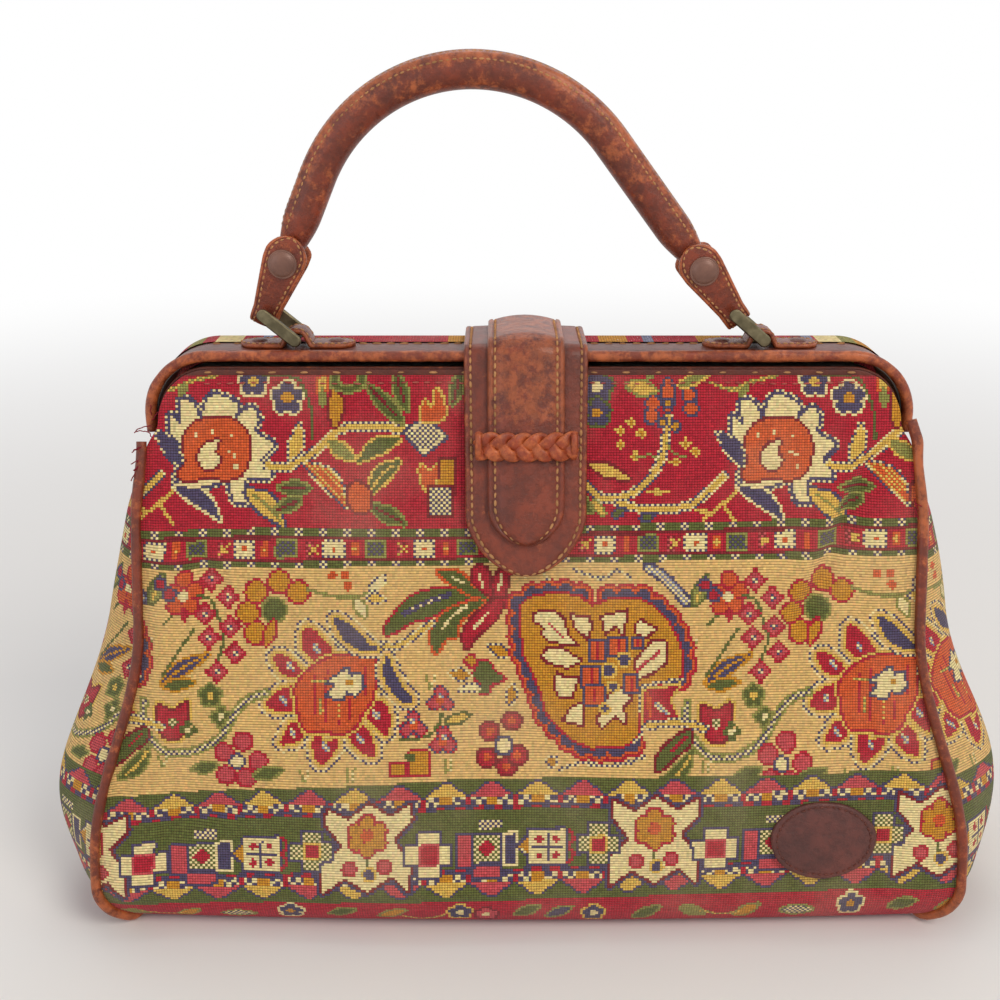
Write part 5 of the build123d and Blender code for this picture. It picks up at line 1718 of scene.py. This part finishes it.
def handle_flap(side):
    """Folded strap at a handle end: round the bar of its ring and up to a rounded tip."""
    centre, up = loop_at(side), leg_way(side)
    front, back = np.array([0, -1.0, 0]), np.array([0, 1.0, 0])
    turn = [centre + 3.6 * (math.cos(a) * front - math.sin(a) * up)
            for a in np.radians(np.linspace(0, 180, 14))]
    behind = [centre + up * d + back * y
              for d, y in ((30, 6.2), (24, 6.2), (16, 5.9), (8, 4.8), (3, 3.8))]
    ahead = [centre + up * d + front * y
             for d, y in ((3, 3.8), (8, 4.8), (14, 5.9), (20, 6.6), (26, 6.9), (33, 6.9))]
    line = resample(curve_through(np.array(behind + turn[::-1] + ahead), closed=False), 80)
    total = along(line)[-1]
    spots = np.concatenate([np.linspace(0, total - 6, 60),
                            total - np.array([5, 4, 3, 2.2, 1.5, 0.9, 0.45, 0.15, 0.0])])
    line = np.stack([np.interp(spots, along(line), line[:, k]) for k in range(3)], 1)
    left = total - spots
    rise = (line - centre) @ up
    half = np.interp(rise, [-4, 2, 12, 22, 28, 34], [5.3, 5.4, 6.8, 8.3, 8.3, 8.0])
    half = np.minimum(half, np.where(spots > total / 2, pointed(left, 8.4, 9.0), 9))
    half = np.minimum(half, np.where(spots < total / 2, pointed(spots + 0.3, 8.2, 5.0), 9))
    across = np.cross(front, up)
    strap(f"handle_flap_{hand(side)}", line, -across, half, 2.0, finish_of("handle"), crown=0.35,
          groove=0.3, groove_in=2.1, wear=0.8, body="carry_handle")
    right, lefts = rows_on(line, -across, half, 2.0, 2.1)
    STITCH_LINES.setdefault("flaps", []).append(np.vstack([right, lefts[::-1]]))
    spot = centre + up * CAP_UP + front * 8.8
    dome(f"handle_cap_{hand(side)}", spot, front, up, 5.6, 2.6, finish_of("cap"),
         "carry_handle", "cap_metal", (f"snap_cap_{hand(side)}",))
    spot = centre + up * CAP_UP + back * 8.0
    dome(f"handle_cap_back_{hand(side)}", spot, back, up, 4.5, 1.2,
         finish_of("cap"), "carry_handle", "cap_metal")


def dome(name, centre, normal, up, radius, height, material, body, slot, replaces=()):
    """Turned button with a rolled rim and a low domed face."""
    normal = unit(normal)
    across = unit(np.cross(up, normal))
    up = np.cross(normal, across)
    profile = [(0.94, -0.3), (1.0, 0.0), (1.02, 0.25), (0.99, 0.42), (0.93, 0.44), (0.9, 0.4),
               (0.84, 0.55), (0.7, 0.76), (0.5, 0.9), (0.25, 0.98), (0.02, 1.0)]
    sides = 40
    angle = np.linspace(0, 2 * np.pi, sides, endpoint=False)
    circle = np.cos(angle)[:, None] * across + np.sin(angle)[:, None] * up
    rings = [centre + radius * share * circle + lift * height * normal for share, lift in profile]
    return make_piece(name, np.vstack(rings), ring_faces(len(rings), sides), material, body, slot,
                      replaces)


def chape_strap(side):
    """Short strap sewn to the frame, arched over the foot of its ring, with a stud at each end."""
    middle = side * CHAPE_X
    d = np.concatenate([[-23, -22.85, -22.5, -22, -21.2, -20.2, -19, -17.6, -16],
                        np.linspace(-14.5, 14.5, 59),
                        [16, 17.6, 19, 20.2, 21.2, 22, 22.5, 22.85, 23]])
    rise = 5.7 * np.exp(-(d / 4.0) ** 4)
    line = np.stack([middle + d, np.full(len(d), HANDLE_Y), LEATHER_TOP_Z + 0.05 + rise], 1)
    half = np.minimum(6.8, pointed(23 - np.abs(d), 6.8, 6.8))
    half = half - 0.9 * np.exp(-(d / 5.0) ** 4)
    name = hand(side)
    strap(f"chape_strap_{name}", line, (0, -1, 0), half, 1.9, finish_of("leather"), crown=0.3,
          groove=0.25, groove_in=1.7, wear=0.8, body="rear_half",
          replaces=(f"chape_{name}",))
    right, lefts = rows_on(line, (0, -1, 0), half, 1.9, 1.7)
    STITCH_LINES.setdefault("chapes", []).append(np.vstack([right, lefts[::-1], right[:1]]))
    for end in (-1, 1):
        dome(f"chape_stud_{name}_{'inner' if end * side < 0 else 'outer'}",
             np.array([middle + end * 15.4, HANDLE_Y, LEATHER_TOP_Z + 1.9]), np.array([0, 0, 1.0]),
             np.array([0, 1.0, 0]), 3.3, 1.1, finish_of("dark"), "rear_half", "brown_leather")


# ---- oval patch

def patch_leather():
    share = PATCH_X / (seam_x(PATCH_Z) - 1.6)
    bow = half_depth(PATCH_Z) - seam_y(PATCH_Z)
    depth = half_depth(PATCH_Z) - bow * share ** 2 + 1.0
    lean = math.atan2(half_depth(PATCH_Z - 0.5) - half_depth(PATCH_Z + 0.5), 1.0)
    turn = math.atan2(2 * bow * share, seam_x(PATCH_Z))
    normal = unit(np.array([math.sin(turn), -math.cos(lean), math.sin(lean)]))
    up = np.array([0, math.sin(lean), math.cos(lean)])
    across = unit(np.cross(up, -normal)) * -1
    across = across if across[0] > 0 else -across
    centre = np.array([PATCH_X, -depth, PATCH_Z])
    profile = [(0.99, -0.8), (1.0, 0.5), (0.985, 1.1), (0.955, 1.45), (0.92, 1.55), (0.885, 1.35),
               (0.85, 1.5), (0.8, 1.6), (0.6, 1.75), (0.35, 1.85), (0.02, 1.9)]
    sides = 96
    angle = np.linspace(0, 2 * np.pi, sides, endpoint=False)
    wobble = 1 + 0.008 * np.sin(3 * angle + 1) + 0.006 * np.sin(7 * angle)
    rings = []
    for share, lift in profile:
        rim = (PATCH_WIDTH / 2 * share * wobble * np.cos(angle))[:, None] * across
        rim = rim + (PATCH_HEIGHT / 2 * share * wobble * np.sin(angle))[:, None] * up
        rings.append(centre + rim + lift * normal)
    points = np.vstack(rings)
    flip = np.cross(across, up) @ normal < 0
    make_piece("oval_patch", points, ring_faces(len(rings), sides, flip=bool(flip)),
               finish_of("patch"),
               "bag", "patch_leather", ("oval_patch",))
    row = centre + 0.885 * (PATCH_WIDTH / 2 * np.cos(angle)[:, None] * across
                            + PATCH_HEIGHT / 2 * np.sin(angle)[:, None] * up) + 1.45 * normal
    STITCH_LINES["patch"] = [np.vstack([row, row[:1]])]


# ---- stitching and loose threads

def all_stitches():
    leather = bpy.context.scene.bag_leather
    thread = finish_of("thread")
    common = {"Pitch": leather.pitch, "Length": leather.pitch * 0.86, "Thickness": 0.0011,
              "Unevenness": 0.14, "Thread": thread}
    grow("tab_stitches", stitch_tree, STITCH_LINES["tab"], "tab", "brown_leather", Seed=3, **common)
    grow("tab_back_stitches", stitch_tree, STITCH_LINES["back"], "rear_half", "brown_leather",
         Seed=4,
         **common)
    small = dict(common, Pitch=leather.pitch * 0.8, Length=leather.pitch * 0.62, Thickness=0.0008)
    grow("handle_stitches", stitch_tree, STITCH_LINES["handle"] + STITCH_LINES["flaps"],
         "carry_handle", "brown_leather", Seed=5, **small)
    grow("chape_stitches", stitch_tree, STITCH_LINES["chapes"], "rear_half", "brown_leather",
         Seed=6,
         **small)
    grow("patch_stitches", stitch_tree, STITCH_LINES["patch"], "bag", "patch_leather", Seed=8,
         **dict(small, Thread=finish_of("dark")))
    x = np.linspace(-126, 126, 120)
    running = np.stack([x, -(half_depth(220.9) + 0.15) + 0 * x, 220.9 + 0.3 * np.sin(x / 9)], 1)
    for name, part in (("left", running[x < -25.5]), ("right", running[x > 22.5])):
        grow(f"running_stitches_{name}", stitch_tree, [part], "front_half", "tapestry",
             Pitch=0.0044, Length=0.0027, Thickness=0.0007, Unevenness=0.2, Seed=9,
             Thread=finish_of("pink thread"))
    edge = np.stack([x, np.full_like(x, -18.35), np.full_like(x, 224.6)], 1)
    grow("edging_stitches", stitch_tree, [edge], "front_half", "brown_leather", Pitch=0.0125,
         Length=0.0030, Thickness=0.0008, Unevenness=0.25, Seed=10, Thread=thread)
    back = np.stack([x, np.full_like(x, 1.0), np.full_like(x, LEATHER_TOP_Z + 0.1)], 1)
    clear = (np.abs(np.abs(x) - CHAPE_X) > 25) & (np.abs(x - TAB_X) > 27)
    pieces = np.split(back, np.nonzero(np.diff(clear.astype(int)))[0] + 1)
    marks = np.split(clear, np.nonzero(np.diff(clear.astype(int)))[0] + 1)
    rows = [part for part, mark in zip(pieces, marks) if mark[0] and len(part) > 2]
    grow("frame_stitches", stitch_tree, rows, "rear_half", "brown_leather", Pitch=0.0052,
         Length=0.0034, Thickness=0.0008, Unevenness=0.2, Seed=11, Thread=thread)


def loose_threads():
    """Threads that have worked loose at the seams and along the mouth."""
    chance = np.random.default_rng(bpy.context.scene.bag_cloth.seed)
    lines = []
    spots = [(-150.5, 196.0, -1, 9)] * 9 + [(-151, 189, -1, 6)] * 4 + [(151.5, 176, 1, 5)] * 3
    for x, z, way, long in spots:
        z = z + chance.uniform(-3, 3)
        start = np.array([x, -float(seam_y(z)) - 1.5, z])
        turn = chance.uniform(-0.9, 0.9)
        length = long * chance.uniform(0.5, 1.1)
        t = np.linspace(0, 1, 9)[:, None]
        reach = np.array([way * math.cos(turn) * 0.6, -0.5, math.sin(turn) - 0.35])
        sag = np.array([0, 0, -0.35])
        curl = np.array([0.8 * math.cos(turn * 5), 0.3, 0.8 * math.sin(turn * 7)])
        lines.append(start + length * (reach * t + sag * t * t) + curl * np.sin(3 * t))
    mouth_ends = ((-150.0, 203.0, -19.0, (-0.9, -0.2, -0.3)),
                  (-150.5, 200.5, -20.5, (-0.85, -0.3, 0.1)),
                  (-150.2, 206.0, -17.0,
                   (0.2, -0.5, 0.9)), (-151.0, 202.0, -21.0, (0.5, -0.4, -0.9)),
                  (-149.5, 205.0, -18.0, (0.6, -0.3, 0.6)))
    t = np.linspace(0, 1, 9)[:, None]
    for x, z, y, way in mouth_ends:
        curl = np.array([0, -0.4, 0.9]) * np.sin(3 * t)
        lines.append(np.array([x, y, z]) + 6.5 * np.array(way) * t + curl)
    grow("loose_red_threads", strand_tree, lines, "bag", "tapestry", Thickness=0.00045,
         Wander=0.00025,
         Seed=4, Thread=finish_of("red yarn"))
    lines = []
    for x in (-112.0, -64.0, 41.0, 88.0, 121.0):
        t = np.linspace(0, 1, 7)[:, None]
        start = np.array([x, -20.4, 221.2])
        way = np.array([chance.uniform(-0.8, 0.8), -0.35, chance.uniform(-1, -0.2)])
        curl = np.array([0.6, 0, 0.4]) * np.sin(4 * t)
        lines.append(start + chance.uniform(2.5, 5.0) * way * t + curl)
    grow("loose_pale_threads", strand_tree, lines, "front_half", "tapestry", Thickness=0.0003,
         Wander=0.0002, Seed=5, Thread=finish_of("thread"))


# ---- parts kept from the frame

KEPT = {
    "rear_frame": "steel", "front_frame": "steel", "hinge_rivet_left": "steel",
    "hinge_rivet_right": "steel", "snap_socket": "steel", "snap_stud": "steel",
    "ring_left": "bronze", "ring_right": "bronze", "base_board": "board", "handle_core": "filler",
}


def dress_kept_parts():
    for node, finish in KEPT.items():
        piece = bpy.data.objects[node]
        piece.data.materials.clear()
        piece.data.materials.append(finish_of(finish))


# ---- stage

def seen_rays(tree):
    """One for the rays that show the background: seen, mirrored or let through."""
    ray = add(tree, "ShaderNodeLightPath")
    seen = math_node(tree, "MAXIMUM", ray.outputs["Is Camera Ray"], ray.outputs["Is Glossy Ray"])
    return math_node(tree, "MAXIMUM", seen, ray.outputs["Is Transmission Ray"])


def make_stage():
    values = bpy.context.scene.bag_stage
    mesh = bpy.data.meshes.new("floor")
    far = 9.0
    mesh.from_pydata([(-far, -far, 0), (far, -far, 0), (far, far, 0), (-far, far, 0)], [],
                     [(0, 1, 2, 3)])
    floor = in_scene("floor", mesh)
    material, tree, shader = new_material("Pale floor")
    place = add(tree, "ShaderNodeTexCoord").outputs["Object"]
    tone = ramp(tree, noise(tree, place, 3.0, 3.0), 0.2, 0.8)
    colour = mix_colour(tree, tone, tuple(0.98 * c for c in values.floor), tuple(values.floor))
    tree.links.new(colour, shader.inputs["Base Color"])
    shader.inputs["Roughness"].default_value = 0.9
    length = add(tree, "ShaderNodeVectorMath", operation="LENGTH")
    tree.links.new(place, length.inputs[0])
    away = ramp(tree, length.outputs["Value"], 0.3, 1.5)
    glow = add(tree, "ShaderNodeEmission", Color=(1.0, 1.0, 1.0, 1.0), Strength=1.0)
    mix = add(tree, "ShaderNodeMixShader")
    tree.links.new(math_node(tree, "MULTIPLY", away, seen_rays(tree)), mix.inputs[0])
    tree.links.new(shader.outputs[0], mix.inputs[1])
    tree.links.new(glow.outputs[0], mix.inputs[2])
    tree.links.new(mix.outputs[0], tree.nodes["Material Output"].inputs["Surface"])
    mesh.materials.append(material)
    lamps = (
        ("key lamp", (0.95, -1.15, 1.45), 0.9, values.key, srgb(255, 249, 240)),
        ("fill lamp", (-1.3, -1.3, 0.8), 1.3, values.key * 0.32, srgb(240, 245, 255)),
        ("top lamp", (-0.1, 0.5, 1.6), 1.0, values.key * 0.35, srgb(255, 252, 248)),
    )
    aim = Vector((0, 0, 0.13))
    for name, spot, size, power, colour in lamps:
        data = bpy.data.lights.new(name, "AREA")
        data.shape = "DISK"
        data.size = size
        data.energy = power
        data.color = colour
        lamp = in_scene(name, data)
        lamp.location = spot
        lamp.rotation_euler = (aim - Vector(spot)).to_track_quat("-Z", "Y").to_euler()
    world = bpy.data.worlds.new("Studio")
    bpy.context.scene.world = world
    world.use_nodes = True
    tree = world.node_tree
    soft = fit(tree.nodes["Background"], {"Color": (0.92, 0.94, 1.0, 1.0), "Strength": 0.55})
    white = add(tree, "ShaderNodeBackground", Color=(1.0, 1.0, 1.0, 1.0), Strength=1.0)
    mix = add(tree, "ShaderNodeMixShader")
    tree.links.new(seen_rays(tree), mix.inputs[0])
    tree.links.new(soft.outputs[0], mix.inputs[1])
    tree.links.new(white.outputs[0], mix.inputs[2])
    tree.links.new(mix.outputs[0], tree.nodes["World Output"].inputs["Surface"])
    data = bpy.data.cameras.new("camera")
    data.lens = values.lens
    data.sensor_width = 36.0
    camera = in_scene("camera", data)
    camera.location = (-0.0116, -0.4952, 0.3450)
    camera.rotation_euler = (math.radians(70), 0, 0)
    bpy.context.scene.camera = camera
    bpy.context.scene.view_settings.view_transform = "Standard"


# ---- add-on

class CARPETBAG_OT_tapestry(bpy.types.Operator):
    """Weaves the front, the back, the sides and the base"""

    bl_idname = "carpetbag.tapestry"
    bl_label = "Weave tapestry"

    def execute(self, context):
        body_cloth("front_cloth", -1, "front_half", ("front_panel", "front_panel_top"))
        body_cloth("rear_cloth", 1, "rear_half", ("rear_panel", "rear_panel_top"))
        side_cloth("left_side_cloth", -1)
        side_cloth("right_side_cloth", 1)
        base_cloth()
        return {"FINISHED"}


class CARPETBAG_OT_lining(bpy.types.Operator):
    """Sews the lining and the facings behind the mouth"""

    bl_idname = "carpetbag.lining"
    bl_label = "Sew lining"

    def execute(self, context):
        lining_tub()
        facing("front_facing", -1, "front_half")
        facing("rear_facing", 1, "rear_half")
        return {"FINISHED"}


class CARPETBAG_OT_piping(bpy.types.Operator):
    """Runs leather piping down both side seams"""

    bl_idname = "carpetbag.piping"
    bl_label = "Add piping"

    def execute(self, context):
        side_piping("left_piping", -1)
        side_piping("right_piping", 1)
        return {"FINISHED"}


class CARPETBAG_OT_frame(bpy.types.Operator):
    """Covers the hinged frame and finishes the metal parts"""

    bl_idname = "carpetbag.frame"
    bl_label = "Cover frame"

    def execute(self, context):
        frame_leather()
        dress_kept_parts()
        return {"FINISHED"}


class CARPETBAG_OT_tab(bpy.types.Operator):
    """Makes the closing tab with its strap and plaited keeper"""

    bl_idname = "carpetbag.tab"
    bl_label = "Make closing tab"

    def execute(self, context):
        tab_leather()
        plaited_keeper()
        return {"FINISHED"}


class CARPETBAG_OT_handle(bpy.types.Operator):
    """Makes the rolled handle, its flaps and caps, and the chapes of the rings"""

    bl_idname = "carpetbag.handle"
    bl_label = "Make handle"

    def execute(self, context):
        rolled_handle()
        for side in (-1, 1):
            handle_flap(side)
            chape_strap(side)
        return {"FINISHED"}


class CARPETBAG_OT_patch(bpy.types.Operator):
    """Cuts the oval leather patch"""

    bl_idname = "carpetbag.patch"
    bl_label = "Cut oval patch"

    def execute(self, context):
        patch_leather()
        return {"FINISHED"}


class CARPETBAG_OT_stitching(bpy.types.Operator):
    """Sews every row of stitches; run after the tab, the handle and the patch"""

    bl_idname = "carpetbag.stitching"
    bl_label = "Sew stitches"

    def execute(self, context):
        all_stitches()
        return {"FINISHED"}


class CARPETBAG_OT_threads(bpy.types.Operator):
    """Pulls a few threads loose at the worn seams"""

    bl_idname = "carpetbag.threads"
    bl_label = "Pull loose threads"

    def execute(self, context):
        loose_threads()
        return {"FINISHED"}


class CARPETBAG_OT_stage(bpy.types.Operator):
    """Sets the floor, the lamps and the camera"""

    bl_idname = "carpetbag.stage"
    bl_label = "Set stage"

    def execute(self, context):
        make_stage()
        return {"FINISHED"}


STEPS = (CARPETBAG_OT_tapestry, CARPETBAG_OT_lining, CARPETBAG_OT_piping, CARPETBAG_OT_frame,
         CARPETBAG_OT_tab, CARPETBAG_OT_handle, CARPETBAG_OT_patch, CARPETBAG_OT_stitching,
         CARPETBAG_OT_threads, CARPETBAG_OT_stage)


class CARPETBAG_PT_panel(bpy.types.Panel):
    """Steps and sizes of the bag"""

    bl_label = "Framed Carpet Bag"
    bl_idname = "CARPETBAG_PT_panel"
    bl_space_type = "VIEW_3D"
    bl_region_type = "UI"
    bl_category = "Carpet Bag"

    def draw(self, context):
        scene = context.scene
        for settings in (scene.bag_cloth, scene.bag_leather, scene.bag_stage):
            box = self.layout.box()
            for name in settings.bl_rna.properties.keys():
                if name not in {"rna_type", "name"}:
                    box.prop(settings, name)
        for step in STEPS:
            self.layout.operator(step.bl_idname)


CLASSES = (BagCloth, BagLeather, BagStage, *STEPS, CARPETBAG_PT_panel)


def register():
    for cls in CLASSES:
        bpy.utils.register_class(cls)
    bpy.types.Scene.bag_cloth = PointerProperty(type=BagCloth)
    bpy.types.Scene.bag_leather = PointerProperty(type=BagLeather)
    bpy.types.Scene.bag_stage = PointerProperty(type=BagStage)


def unregister():
    for name in ("bag_cloth", "bag_leather", "bag_stage"):
        delattr(bpy.types.Scene, name)
    for cls in reversed(CLASSES):
        bpy.utils.unregister_class(cls)


def main():
    register()
    for step in STEPS:
        getattr(bpy.ops.carpetbag, step.bl_idname.split(".")[1])()


if __name__ == "__main__":
    main()
